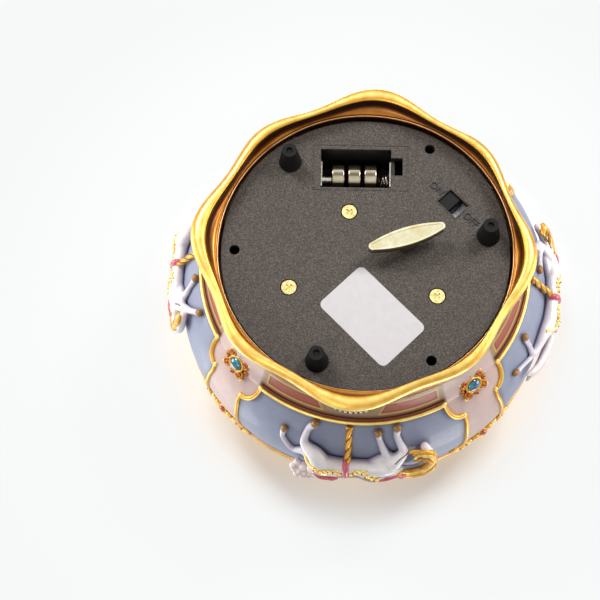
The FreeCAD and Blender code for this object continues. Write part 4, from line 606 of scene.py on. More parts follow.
METAL_FINISHES = (
    # name, dark, light, grain, roughness, stretch of the roughness
    ("brass_screw", (214, 188, 110), (248, 236, 176), 0.8, (0.22, 0.4), None),
    ("key_brass", (236, 222, 172), (254, 247, 218), 3.0, (0.18, 0.3), None),
    ("steel", (150, 150, 153), (196, 196, 200), 1.2, (0.25, 0.42), (1, 8, 1)),
    ("cell_steel", (196, 182, 150), (236, 228, 206), 5.0, (0.08, 0.18), (6, 1, 1)),
    ("contact_metal", (190, 182, 166), (228, 222, 208), 1.0, (0.2, 0.36), None),
    ("zinc_alloy", (140, 142, 146), (178, 180, 184), 1.5, (0.35, 0.55), None),
    ("gear_brass", (186, 150, 76), (220, 188, 110), 1.2, (0.2, 0.38), None),
)
PLAIN_FINISHES = (
    # name, dark, light, grain, roughness, specular level
    # Painted shade: the raised letters of the plate are coloured much darker than it
    ("word_plastic", (16, 13, 12), (30, 26, 24), 0.6, (0.34, 0.44), 0.5),
    ("black_rubber", (6, 6, 6), (22, 21, 21), 0.8, (0.5, 0.7), 0.16),
    ("white_paper", (194, 191, 193), (199, 196, 198), 2.0, (0.5, 0.65), 0.5),
    ("switch_black", (5, 5, 5), (18, 18, 18), 1.0, (0.4, 0.55), 0.2),
    ("board_green", (28, 92, 50), (44, 120, 70), 2.0, (0.35, 0.5), 0.5),
    ("led_resin", (232, 226, 208), (246, 242, 230), 2.0, (0.15, 0.3), 0.5),
    ("wire_red", (150, 22, 22), (184, 36, 34), 1.0, (0.4, 0.55), 0.5),
    ("wire_black", (18, 18, 18), (38, 38, 38), 1.0, (0.4, 0.55), 0.5),
    ("wire_white", (208, 208, 204), (232, 232, 228), 1.0, (0.4, 0.55), 0.5),
    ("frosted_acrylic", (238, 234, 222), (250, 247, 240), 4.0, (0.35, 0.5), 0.5),
)


def finishes():
    """One finished material for each slot of the record, and the painted ones."""
    made = {}
    for name, metallic, coat, patches, rough, relief in PAINTED_FINISHES:
        made[name] = Finish(name, metallic, coat).painted(*patches).rough(*rough)
        if relief:
            made[name].relief(*relief)
    for name, dark, light, grain, rough, stretch in METAL_FINISHES:
        made[name] = Finish(name, 1.0).shades(grain, srgb(*dark), srgb(*light)).rough(0.8, *rough, stretch)
    for name, dark, light, grain, rough, specular in PLAIN_FINISHES:
        look = Finish(name, specular=specular).shades(grain, srgb(*dark), srgb(*light))
        made[name] = look.rough(0.7, *rough)
    # Painted shade on the key: slightly darker from 1.3 mm and much darker from 1.9 mm up, towards the plate
    made["key_brass"].painted_shade_inside(1.3, 1.65, 0.86).painted_shade_inside(1.9, 3.0, 0.35)
    made["black_rubber"].relief(0.6, 0.04)
    made["switch_black"].relief(0.5, 0.02)
    made["frosted_acrylic"].set({"Transmission Weight": 0.35, "IOR": 1.49})
    made["gold_paint"] = (
        Finish("gold_paint", 0.72, 0.15).shades(9.0, srgb(208, 150, 50), GOLD, srgb(238, 194, 92))
        .rough(2.0, 0.26, 0.42).relief(1.2, 0.03))
    made["painted_resin"] = (
        Finish("painted_resin").shades(6.0, CREAM_SHADE, CREAM).rough(0.7, 0.45, 0.6).relief(0.9, 0.03))
    made["horse_white"] = (
        Finish("horse_white", coat=0.35).shades(3.0, LAVENDER, WHITE).rough(2.0, 0.3, 0.45).relief(0.8, 0.03))
    # Painted shade: the plate falls nearly to black above 9.25 mm, inside its pocket and holes
    made["black_plastic"] = (
        Finish("black_plastic", specular=0.4)
        .shades(0.38, srgb(26, 21, 19), srgb(60, 53, 48), srgb(107, 96, 87), detail=2.0, spread=(0.28, 0.72))
        .painted_shade_inside(9.25, 10.0, 0.07).rough(0.5, 0.5, 0.68).relief(0.42, 0.05))
    made["blue_jewel"] = (
        Finish("blue_jewel", 0.35, 1.0).shades(1.6, srgb(2, 40, 62), srgb(8, 92, 118), srgb(52, 160, 178))
        .rough(1.5, 0.06, 0.16))
    made["red_jewel"] = (
        Finish("red_jewel", 0.2, 1.0).shades(1.2, srgb(120, 22, 10), srgb(196, 66, 34)).rough(1.5, 0.08, 0.2))
    return {name: finish.material for name, finish in made.items()}


# Painted casting
def panel_edge(height):
    """Degrees from the middle to the blue panel's edge."""
    notch = NOTCH_HIGH[0] - (NOTCH_HIGH[0] - NOTCH_LOW[0]) * np.sqrt(
        np.clip(1 - ((height - NOTCH_LOW[1]) / (NOTCH_HIGH[1] - NOTCH_LOW[1])) ** 2, 0, 1))
    side = np.array(PANEL_SIDE)
    beside = np.interp(height, side[:, 1], side[:, 0])
    return np.where(height < NOTCH_HIGH[1], notch, beside)


def blend(paint, colour, share):
    return paint * (1 - share[..., None]) + np.asarray(colour) * share[..., None]


def layered(shape, base, layers):
    """Paint of one colour, and over it colours that each cover a share of it."""
    paint = np.broadcast_to(np.asarray(base), shape + (4,))
    for colour, share in layers:
        paint = blend(paint, colour, share)
    return paint


def casting_paint(turn, height, radius):
    """Colour of the casting at degrees from the nearest panel's middle."""
    turn = np.abs(turn)
    per_degree = radius * math.pi / 180
    below = height < LINE_Z
    # Blue panel, with painted shade along its edges beside the gold lines
    inside = np.minimum((panel_edge(height) - turn) * per_degree,
                        np.minimum(height - LINE_Z, BORDER_Z - 0.8 - height))
    blue = blend(np.asarray(BLUE_SHADE), BLUE, smoothstep(0.0, 3.2, inside))
    shade_beside_line = (inside < 0) & (inside > -2.2) & (height > LINE_Z)
    # Neck band
    neck = smoothstep(NOTCH_LOW[0] + 1.6, NOTCH_LOW[0] + 0.2, turn) * below
    lean = (height - INSET_RISE[0]) / (INSET_RISE[1] - INSET_RISE[0])
    inner = INSET_TURN[0] + INSET_SLANT * (1 - lean)
    deep = np.minimum(np.minimum((turn - inner) * per_degree, (INSET_TURN[1] - 1.0 - turn) * per_degree),
                      np.minimum(height - INSET_RISE[0], INSET_RISE[1] - height))
    arch = 1 - (turn / CRESCENT_TURN) ** 2
    crescent = CRESCENT_RISE[0] + (CRESCENT_RISE[1] - CRESCENT_RISE[0]) * arch - height
    # Shoulder over the border, in stripes, with painted shade just above the border line
    stripe = np.abs((turn % STRIPE_STEP) - STRIPE_STEP / 2)
    striped = np.where(stripe[..., None] < STRIPE_HALF, np.asarray(CREAM), np.asarray(BLUE))
    striped = blend(striped, GOLD, smoothstep(0.7, 0.4, np.abs(stripe - STRIPE_HALF) * per_degree))
    striped = blend(striped, CREAM_SHADE, smoothstep(BORDER_Z + 4.0, BORDER_Z + 1.4, height) * 0.6)
    return layered(turn.shape, CREAM, (
        # Painted shade: darker cream towards the foot rim
        (CREAM_SHADE, smoothstep(15.0, 10.5, height) * 0.8),
        (blue, smoothstep(-0.1, 0.2, inside)),
        # Painted shade: darker cream just outside the panel, beside its gold line
        (CREAM_SHADE, np.where(shade_beside_line, 0.55 * smoothstep(-2.2, 0.0, inside), 0.0)),
        (OLIVE, neck),
        (BAND, neck * smoothstep(*BAND_RISE, height)),
        (GOLD, smoothstep(-0.9, -0.5, deep) * below),
        (RED_BROWN, smoothstep(-0.35, -0.1, deep) * below),
        (PINK, smoothstep(0.25, 0.5, deep) * below),
        (BROWN, smoothstep(-0.1, 0.3, crescent) * (turn < CRESCENT_TURN)),
        (striped, smoothstep(BORDER_Z + 1.0, BORDER_Z + 1.4, height)),
    ))


def strand_line(strand):
    """Curl or lock of a tail as rows close together."""
    return smooth_line(strand, 6) if len(strand) > 1 else np.array(strand)


def clearance(points, joints):
    """How far points lie from the nearest of several balls told on the panel."""
    clear = np.full(len(points), np.inf)
    for along, rise, out, radius in joints:
        clear = np.minimum(clear, np.linalg.norm(points - on_panel(along, rise, out), axis=1) - radius)
    return clear


def painted_horse_shade(points):
    """How much painted shade lies beside the horse of each side, from 0 to 1."""
    shade = np.zeros(len(points))
    for _, angle, neck, legs, tail, _, _ in HORSES:
        front = turned(points, -angle)
        across, depth, height = front.T
        near = (np.abs(across) < HORSE_HALF) & (depth < -HORSE_DEPTH)
        near &= (height > LINE_Z) & (height < BORDER_Z)
        spots = [row for limb in TRUNK + neck + legs for row in smooth_line(limb, 4)]
        spots += [row for strand in tail for row in strand]
        shade[near] = np.maximum(shade[near], smoothstep(HORSE_SHADE_REACH, 0.1, clearance(front[near], spots)))
    return shade


def casting(finish):
    """Painted body, swept round its outer line and closed by the hollow inside."""
    rows, radius, height, angle = spun_rows(BODY_PROFILE + list(HOLLOW_PROFILE), BODY_STEPS, BODY_ROW)
    radii, turns = np.meshgrid(radius, (angle + DIAGONAL) % (2 * DIAGONAL) - DIAGONAL, indexing="ij")
    heights = np.broadcast_to(height[:, None], radii.shape)
    form = Form()
    paint = casting_paint(turns, heights, radii)
    # Painted shade in slate on the casting beside each horse
    paint = blend(paint, SLATE_SHADE, painted_horse_shade(rows.reshape(-1, 3)).reshape(radii.shape) * HORSE_SHADE_SHARE)
    form.grid(rows, paint, closed_along=True)
    piece = form.piece("painted_casting", finish["enamel"], slot="painted_resin")
    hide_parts("body_shell")


# Foot rim: base radius, share of the wave, height and colour of each line across it
# The colours are the gilt, tan and peach paint, with painted highlight in pale gold on the crest and painted
# shade in brown and umber where the rim meets the casting, in the groove inside the crest and down the inner
# wall
RIM_LINES = (
    (50.6, 0.10, 9.8, BROWN), (50.8, 0.36, 8.6, BROWN), (50.9, 0.60, 7.0, DEEP_GOLD),
    (51.1, 0.84, 5.2, GOLD), (51.3, 0.96, 4.0, GOLD), (51.3, 1.0, 3.0, PALE_GOLD),
    (51.1, 0.98, 2.1, PALE_GOLD), (50.5, 0.94, 1.4, GOLD), (49.8, 0.86, 1.0, PALE_GOLD),
    (49.2, 0.76, 1.0, PALE_GOLD),
    (48.8, 0.67, 1.2, GOLD), (48.55, 0.61, 1.6, GOLD), (48.48, 0.57, 2.1, BROWN), (48.46, 0.54, 3.2, UMBER),
    (48.44, 0.46, 4.4, BROWN), (48.42, 0.32, 5.4, TAN), (48.4, 0.14, 6.0, DEEP_GOLD),
    (48.34, 0.0, 6.1, DEEP_GOLD), (48.24, 0.0, 6.4, BROWN), (48.16, 0.0, 6.7, TAN), (48.0, 0.0, 6.6, PEACH),
    (47.82, 0.0, 6.7, PEACH), (47.66, 0.0, 7.2, UMBER), (47.6, 0.0, 8.2, UMBER), (47.6, 0.0, 9.8, UMBER),
)
RIM_WAVE_FOUR = 1.3
RIM_WAVE_EIGHT = 1.62
RIM_LIFT = 1.2          # how far the rim rises between its lobes
RIM_SHIFT = (0.8, 0.2)  # of its outer edge, as cast
RIM_STEPS = 540


def foot_rim(finish):
    turn = np.linspace(0, 2 * math.pi, RIM_STEPS, endpoint=False)
    wave = RIM_WAVE_FOUR * np.cos(4 * turn) + RIM_WAVE_EIGHT * (1 + np.cos(8 * turn))
    lift = RIM_LIFT * (1 - wave / wave.max())
    rows, paint = [], []
    for radius, share, height, *colour in smooth_line([(*line, *colour) for *line, colour in RIM_LINES], 3):
        radii = radius + share * (wave + RIM_SHIFT[0] * np.cos(turn) + RIM_SHIFT[1] * np.sin(turn))
        rows.append(np.stack((radii * np.cos(turn), radii * np.sin(turn), height + share * lift), axis=-1))
        paint.append(np.broadcast_to(np.clip(colour, 0, 1), (RIM_STEPS, 4)))
    form = Form()
    form.grid(rows, np.array(paint), closed_along=True)
    piece = form.piece("gilded_rim", finish["gilt"], slot="gold_paint")
    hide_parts("foot_rim")


# Gold lines on the casting
LINE_TUBE = 0.72
THIN_TUBE = 0.3
BORDER_TUBE = 0.95
LINE_OUT = 0.15         # how far the middle of a line or pearl lies out from the casting
RING_STEPS = 360
SHOULDER_LINES = ((58.4, 0.3, DEEP_GOLD), (63.4, 0.48, GOLD), (67.2, 0.58, GOLD))


def ring_tube(form, radius, height, thickness, colour, around=10):
    turn = np.linspace(0, 2 * math.pi, RING_STEPS, endpoint=False)
    rows = []
    for lean in np.linspace(0, 2 * math.pi, around, endpoint=False):
        reach = radius + thickness * math.cos(lean)
        level = np.full(RING_STEPS, height + thickness * math.sin(lean))
        rows.append(np.stack((reach * np.cos(turn), reach * np.sin(turn), level), axis=-1))
    form.grid(rows[::-1], colour, closed_along=True)


def gold_lines(finish):
    form = Form()
    along = np.linspace(-NOTCH_LOW[0], NOTCH_LOW[0], 50)
    form.tube([on_body(t, LINE_Z + 0.1, LINE_TUBE * 0.4) for t in along], LINE_TUBE, PALE_GOLD)
    form.tube([on_body(t, LINE_Z - 1.5, LINE_OUT) for t in along], THIN_TUBE, RED_BROWN, 8)
    wide, tall = NOTCH_HIGH[0] - NOTCH_LOW[0], NOTCH_HIGH[1] - NOTCH_LOW[1]
    notch = [(NOTCH_HIGH[0] - wide * math.cos(a), NOTCH_LOW[1] + tall * math.sin(a))
             for a in np.linspace(0, math.pi / 2, 16)]
    side = smooth_line(PANEL_SIDE + (PANEL_END,), 8)
    for way in (1, -1):
        form.tube([on_body(way * t, z, LINE_OUT) for t, z in notch], LINE_TUBE, GOLD)
        # Painted highlight: a thin pale gold line along each notch
        painted_highlight = [on_body(way * (t - 0.35), z, LINE_OUT + LINE_TUBE * 0.8) for t, z in notch[1:-1]]
        form.tube(painted_highlight, THIN_TUBE, PALE_GOLD, 8)
        form.tube([on_body(way * t, z, LINE_OUT) for t, z in side], LINE_TUBE, GOLD)
        for t, z in (NOTCH_LOW, NOTCH_HIGH):
            form.ball(on_body(way * t, z, LINE_OUT), LINE_TUBE * 1.25, PALE_GOLD)
    form.four().piece("panel_lines", finish["gilt"], slot="gold_paint")
    rings = Form()
    ring_tube(rings, BORDER_RADIUS - 0.25, BORDER_Z + 0.6, BORDER_TUBE, GOLD)
    for height, thickness, colour in SHOULDER_LINES:
        ring_tube(rings, body_radius(height) + 0.1, height, thickness, colour, 8)
    rings.piece("border_lines", finish["gilt"], slot="gold_paint")


def pearls(finish):
    form = Form()
    for turn in np.linspace(-PEARL_TURN, PEARL_TURN, PEARL_COUNT):
        arch = 1 - (turn / CRESCENT_TURN) ** 2
        height = CRESCENT_RISE[0] + 0.62 * (CRESCENT_RISE[1] - CRESCENT_RISE[0]) * arch
        form.ball(on_body(turn, height, LINE_OUT), PEARL_RADIUS - 0.03 * abs(turn), PEARL)
    form.four().piece("pearls", finish["glaze"], slot="horse_white")


# Jewelled flower on the diagonal, in its own plane: across, up and out
FLOWER_Z = 20.9
FLOWER_OUT = -0.9
FLOWER_TILT = 38.0
VOLUTES = ((2.9, 2.5), (-2.9, 2.5), (-2.9, -2.5), (2.9, -2.5))
VOLUTE_STEPS = 26
VOLUTE_REACH = 1.7
VOLUTE_TURNS = 1.35
PETALS = ((4.6, 0, 0.95), (-4.6, 0, 0.95), (0, 4.0, 0.9), (0, -4.0, 0.9))
FLOWER_BED = (4.3, 3.9, 1.3)
FLOWER_LOOP = (2.85, 2.4, 1.25)
FLOWER_GEM = (2.5, 2.1, 1.35)
EMBER = srgb(170, 62, 30)
RUST = srgb(150, 52, 28)


def diagonal_axes(tilt):
    """Way out at the first diagonal, and the rows across, up and out of a plane that leans down there."""
    angle, lean = math.radians(DIAGONAL), math.radians(tilt)
    radial = np.array((math.sin(angle), -math.cos(angle), 0.0))
    across = np.array((math.cos(angle), math.sin(angle), 0.0))
    outward = radial * math.cos(lean) - np.array((0, 0, 1.0)) * math.sin(lean)
    return radial, np.array((across, np.cross(outward, across), outward))


def loop_line(centre, axes, half, steps):
    """Oval line in a plane: half its width and height, and how far out it lies."""
    turns = np.linspace(0, 2 * math.pi, steps)
    across, up, out = np.broadcast_arrays(half[0] * np.cos(turns), half[1] * np.sin(turns), half[2])
    return centre + np.stack((across, up, out), axis=-1) @ axes


def flowers(finish):
    radial, axes = diagonal_axes(FLOWER_TILT)
    centre = radial * (LINE_RADIUS + FLOWER_OUT) + np.array((0, 0, FLOWER_Z))

    def at(across, up, out):
        return centre + np.array((across, up, out)) @ axes

    form = Form()
    form.ball(at(0, 0, -0.2), 1.0, BROWN, FLOWER_BED, axes)
    form.tube(loop_line(centre, axes, FLOWER_LOOP, 28), 0.42, GOLD, 8)
    for x, y in VOLUTES:
        way = 1 if x * y > 0 else -1
        start = math.atan2(y, x)
        spiral = []
        for s in np.linspace(0, 1, VOLUTE_STEPS):
            reach = VOLUTE_REACH * (1 - 0.72 * s)
            a = start + math.pi + way * 2 * math.pi * VOLUTE_TURNS * s
            spiral.append(at(x + reach * math.cos(a), y + reach * math.sin(a), 0.9 + 0.5 * s))
        form.tube(spiral, np.linspace(0.55, 0.36, VOLUTE_STEPS), DEEP_GOLD, 8)
        form.ball(at(x, y, 1.35), 0.42, EMBER)
        form.ball(at(x * 1.5, y * 1.35, 0.75), 0.72, PALE_GOLD)
    for x, y, size in PETALS:
        form.ball(at(x, y, 0.7), size, DEEP_GOLD, (1.0, 1.0, 0.8), axes)
        form.ball(at(x * 0.98, y * 0.98, 1.35), 0.36, RUST)
    piece = form.four().piece("filigree_flowers", finish["gilt"], slot="gold_paint")
    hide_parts("jewel_mounts")
    gem = Form()
    gem.ball(at(0, 0, 1.2), 1.0, BLUE, FLOWER_GEM, axes, 12, 24)
    piece = gem.four().piece("teal_cabochons", finish["blue_jewel"], slot="blue_jewel")
    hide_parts("blue_jewels")


# Border scroll on the diagonal: along the border, height, half length, thickness
SCROLL_LEAVES = (
    (2.9, 54.3, 1.55, 0.95), (5.6, 54.8, 1.5, 0.85), (8.2, 55.4, 1.3, 0.75), (10.4, 55.8, 1.1, 0.6),
)
SCROLL_Z = 54.3
SCROLL_TILT = 30.0
SCROLL_BED = (2.2, 2.0, 1.0)
SCROLL_LOOP = (1.6, 1.5, 0.45)
SCROLL_GEM = (1.35, 1.25, 0.95)


def scrolls(finish):
    form = Form()
    per_degree = BORDER_RADIUS * math.pi / 180
    _, axes = diagonal_axes(SCROLL_TILT)
    out = axes[2]
    centre = on_body(DIAGONAL, SCROLL_Z, 0.5)
    form.ball(centre - out * 0.4, 1.0, DEEP_GOLD, SCROLL_BED, axes)
    form.tube(loop_line(centre, axes, SCROLL_LOOP, 22), 0.36, GOLD, 8)
    for way in (1, -1):
        for k, (along, height, half, thick) in enumerate(SCROLL_LEAVES):
            turn = way * along / per_degree
            leaf = on_body(DIAGONAL + turn, height, 0.45)
            leaf_axes = turned(axes, turn)
            form.ball(leaf, 1.0, PALE_GOLD if k % 2 else GOLD, (half, thick, thick), leaf_axes)
            form.ball(leaf - leaf_axes[0] * way * half + leaf_axes[2] * 0.3, 0.5, DEEP_GOLD)
    piece = form.four().piece("gilded_scrolls", finish["gilt"], slot="gold_paint")
    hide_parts("border_scrolls")
    gem = Form()
    gem.ball(centre + out * 0.45, 1.0, ROSE, SCROLL_GEM, axes, 10, 18)
    piece = gem.four().piece("red_cabochons", finish["red_jewel"], slot="red_jewel")
    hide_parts("red_jewels")


# Horses
def remeshed(form, name):
    """One smooth skin over overlapping forms."""
    mesh = form.mesh(name)
    source = linked(name, mesh)
    skin = source.modifiers.new("skin", "REMESH")
    skin.mode = "VOXEL"
    skin.voxel_size = VOXEL * MM
    soft = source.modifiers.new("soft", "SMOOTH")
    soft.factor = 0.5
    soft.iterations = SMOOTHING
    done = bpy.data.meshes.new_from_object(source.evaluated_get(bpy.context.evaluated_depsgraph_get()))
    bpy.data.objects.remove(source)
    bpy.data.meshes.remove(mesh)
    return done


def horse_paint(points, head, legs, tail):
    """White glaze with painted shade towards the panel and in the tail's creases, with gilded hooves and a
    blushing tail.
    """
    height = points[:, 2] - LINE_Z
    out = np.hypot(points[:, 0], points[:, 1]) - panel_radius(height)
    # Painted shade: lavender, then slate, as the glaze nears the panel
    layers = [(LAVENDER, smoothstep(3.6, 0.4, out) * 0.85), (SLATE_SHADE, smoothstep(1.1, 0.0, out) * 0.6)]
    for leg in legs:
        along, rise, away, _ = leg[-1]
        near = np.linalg.norm(points - on_panel(along, rise - 0.2, away), axis=1)
        layers.append((HOOF, smoothstep(HOOF_REACH + 0.25, HOOF_REACH - 0.15, near)))
    reach = np.array([clearance(points, strand_line(strand)) for strand in tail])
    first, second = np.sort(reach, axis=0)[:2]
    hair = smoothstep(0.9, 0.2, first)
    muzzle = np.linalg.norm(points - on_panel(*head[-1][:3]), axis=1)
    layers += [
        (BLUSH, hair * 0.35),
        # Painted shade in the creases between the tail's curls
        (TAIL_CREASE_SHADE, hair * smoothstep(0.45, 0.0, second - first) * 0.7),
        (BLUSH, smoothstep(2.2, 1.4, muzzle) * 0.5),
    ]
    return layered((len(points),), WHITE, layers)


def horses(finish):
    for name, angle, neck, legs, tail, share, lie in HORSES:
        form = Form()
        for limb in TRUNK + neck + legs:
            form.chain(limb, WHITE, around=16)
        for ear in EARS:
            form.chain(at_head(ear, lie), WHITE)
        for strand in tail:
            for along, rise, out, radius in strand_line(strand):
                form.ball(on_panel(along, rise, out), radius, WHITE)
        mesh = remeshed(form, "horse_" + name)
        points = np.empty(len(mesh.vertices) * 3)
        mesh.vertices.foreach_get("co", points)
        points = points.reshape(-1, 3) / MM
        coat(mesh, horse_paint(points, neck[-1], legs, tail))
        mesh.vertices.foreach_set("co", (turned(pressed(points, share), angle) * MM).ravel())
        mesh.update()
        piece = place("glazed_horse_" + name, mesh, finish["glaze"], slot="horse_white")
        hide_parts("horse_" + name)


def garland(gold):
    for along, rise, out in GARLAND:
        gold.ball(on_panel(along, rise, out), GARLAND_RADIUS, LACE_GOLD)
        for way in (1, -1):
            gold.ball(on_panel(along + 0.8 * way, rise - 0.8, out - 0.1), GARLAND_RADIUS * 0.55, LACE_GOLD)
            gold.ball(on_panel(along + 0.55 * way, rise + 0.9, out - 0.2), GARLAND_RADIUS * 0.6, PALE_GOLD)
        gold.ball(on_panel(along + 0.6, rise + 0.1, out + 0.35), GARLAND_RADIUS * 0.42, BROWN)


def harness(finish):
    hair, gold, silk = Form(), Form(), Form()
    for _, angle, _, _, _, share, lie in HORSES:
        locks, trims, bands = Form(), Form(), Form()
        for k, lock in enumerate(MANE):
            locks.chain(at_head(lock, lie), MANE_PAINT[k % len(MANE_PAINT)], 7, 8)
        trims.chain(STRAP, PALE_GOLD, 6, 8)
        garland(trims)
        bands.chain(STRAP_EDGE, BLUSH, 6, 8)
        for ribbon in RIBBONS:
            bands.chain(at_head(ribbon, lie), ROSE, 6, 8)
        bands.chain(GIRTH, ROSE, 6, 12)
        bands.chain(LACE, CREAM, 6, 8)
        bands.chain(at_head(REIN, lie), BROWN, 6, 6)
        for whole, one in ((hair, locks), (gold, trims), (silk, bands)):
            whole.take(one, angle, share)
    hair.piece("horse_manes", finish["mane_gold"], slot="gold_paint")
    gold.piece("horse_garlands", finish["gilt"], slot="gold_paint")
    silk.piece("horse_ribbons", finish["glaze"], slot="horse_white")


def poles(finish):
    rows, paint = [], []
    foot = on_panel(0.0, POLE_RISE[0], POLE_OUT[0])
    head = on_panel(0.0, POLE_RISE[1], POLE_OUT[1])
    along = (head - foot) / np.linalg.norm(head - foot)
    side = np.array((1.0, 0.0, 0.0))
    turns = np.linspace(0, 2 * math.pi, POLE_AROUND, endpoint=False)
    circle = np.cos(turns)[:, None] * side + np.sin(turns)[:, None] * np.cross(along, side)
    for s in np.linspace(0, 1, POLE_ROWS):
        ridge = np.cos(2 * (turns - math.pi * POLE_TWISTS * s))
        reach = POLE_RADIUS * (0.86 + 0.14 * ridge)
        rows.append(foot + (head - foot) * s + reach[:, None] * circle)
        # Painted shade: brown in the grooves of the twist, gold on its ridges
        paint.append(blend(np.asarray(BROWN), GOLD, smoothstep(-1.0, -0.6, ridge)))
    form = Form()
    form.grid(rows, np.array(paint), caps=True)
    piece = form.four().piece("twisted_poles", finish["gilt"], slot="gold_paint")
    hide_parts("horse_poles")


# Underside: frame lines round the battery opening and the switch, its lettering, the cells and their spring
POCKET_PLACE = (5.56, 29.3)
POCKET_ANGLE = -4.0
POCKET_FRAME = ((-17.2, -7.9), (14.1, -7.9), (14.1, 8.4), (-17.2, 8.4))
SWITCH_PLACE = (-27.37, 19.41)
SWITCH_ANGLE = 40.9
SLOT_FRAME = ((-4.5, -3.5), (4.5, -3.5), (4.5, 3.5), (-4.5, 3.5))
FRAME_TUBE = 0.16
WORDS = (("ON", 7.4), ("OFF", -8.2))
WORD_SIZE = 3.4
WORD_RISE = 0.28
WORD_BEVEL = 0.04
CELL_Z = 19.0
CELL_STARTS = (-8.15, -2.7, 2.75)
CELL_PROFILE = (
    (0.0, 0.1), (0.0, 4.2), (0.15, 4.45), (0.75, 4.55), (0.8, 4.9), (0.88, 5.3), (1.06, 5.6), (1.32, 5.76),
    (1.6, 5.8), (4.8, 5.8), (5.06, 5.76), (5.24, 5.62), (5.35, 5.4), (5.4, 5.1), (5.4, 0.1),
)
CELL_STEPS = 64
# Painted highlights on the chrome cells, standing in for reflections
CELL_PAINTED_HIGHLIGHTS = ((292, 26, 8, 1.0), (252, 16, 4, 0.75))   # degrees to the middle, the edge and the core, share
SPRING_START = -11.3 + 0.32
SPRING_LENGTH = 2.49
SPRING_RADII = (2.6, 1.7)
SPRING_TURNS = 2.5
SPRING_STEPS = 90
SPRING_WIRE = 0.22


def plate_frames(finish):
    form = Form()
    for corners, spot, angle in (
        (POCKET_FRAME, POCKET_PLACE, POCKET_ANGLE),
        (SLOT_FRAME, SWITCH_PLACE, SWITCH_ANGLE),
    ):
        loop = turned([(x, y, PLATE_Z) for x, y in corners], angle) + np.array((*spot, 0))
        for a, b in zip(loop, np.roll(loop, -1, axis=0)):
            form.tube(np.linspace(a, b, 12), FRAME_TUBE, BROWN, 8)
    form.piece("plate_frames", finish["black_plastic"], slot="black_plastic")


def switch_words(finish):
    angle = math.radians(SWITCH_ANGLE)
    reading = Vector((-math.cos(angle), -math.sin(angle), 0))
    facing = Vector((0, 0, -1))
    upward = facing.cross(reading)
    for word, along in WORDS:
        text = bpy.data.curves.new("word_" + word.lower(), "FONT")
        text.body = word
        text.size = WORD_SIZE * MM
        text.extrude = WORD_RISE * MM
        text.bevel_depth = WORD_BEVEL * MM
        text.align_x, text.align_y = "CENTER", "CENTER"
        piece = linked("word_" + word.lower(), text)
        spot = Vector(SWITCH_PLACE) - along * reading.to_2d()
        axes = Matrix((reading, upward, facing)).transposed().to_4x4()
        piece.matrix_world = Matrix.Translation((spot.x * MM, spot.y * MM, PLATE_Z * MM)) @ axes
        text.materials.append(finish["word_plastic"])
        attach(piece, "case")


def in_pocket(x, radius, turns):
    """Points round the cells' axis in the battery pocket."""
    y, z = radius * np.cos(turns), CELL_Z + radius * np.sin(turns)
    line = np.stack(np.broadcast_arrays(x, y, z), axis=-1)
    return turned(line, POCKET_ANGLE) + np.array((*POCKET_PLACE, 0))


def cells(finish):
    """Three button cells with their rolled edges and smaller lids, painted umber with two painted highlights
    along each in place of reflections.
    """
    form = Form()
    turns = np.linspace(0, 2 * math.pi, CELL_STEPS, endpoint=False)
    band = np.degrees(turns)
    painted_highlights = [share * smoothstep(edge, core, np.abs(band - middle))
              for middle, edge, core, share in CELL_PAINTED_HIGHLIGHTS]
    painted_highlight = 0.12 + 0.88 * np.max(painted_highlights, axis=0)
    for start in CELL_STARTS:
        rows, paint = [], []
        for x, radius in CELL_PROFILE:
            rows.append(in_pocket(start + x, radius, turns))
            plain = smoothstep(0.8, 1.6, x) * smoothstep(5.4, 4.6, x)
            # Painted reflection: umber except in the highlights, and umber on the rolled edges and lids
            paint.append(blend(np.asarray(UMBER), CELL_HIGHLIGHT, painted_highlight * (0.08 + 0.92 * plain)))
        form.grid(rows, np.array(paint), caps=True)
    piece = form.piece("chrome_cells", finish["cell_chrome"], slot="cell_steel")
    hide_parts("button_cells")


def contact_spring(finish):
    form = Form()
    shares = np.linspace(0, 1, SPRING_STEPS)
    turns = 2 * math.pi * SPRING_TURNS * shares
    line = in_pocket(SPRING_START + SPRING_LENGTH * shares, lerp(*SPRING_RADII, shares), turns)
    form.tube(line, SPRING_WIRE, PEARL)
    piece = form.piece("coiled_spring", finish["contact_metal"], slot="contact_metal")
    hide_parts("contact_spring")


# Turntable: outer line and the painted rosette on it
TABLE_PROFILE = (
    (0.02, 72.0), (2.0, 72.0), (2.0, 77.0), (45.7, 77.0), (47.0, 75.7), (47.0, 73.3), (45.7, 72.0),
    (6.5, 72.0), (6.5, 69.1), (2.05, 69.1), (2.05, 71.15), (0.02, 71.15),
)
TABLE_STEPS = 360
TABLE_ROW = 0.5
ROSETTE = (7.0, 37.5)
ROSETTE_INNER = 12.0        # reach of the inner petals past the middle
TABLE_LINE = 41.5
TABLE_EDGE = 45.5


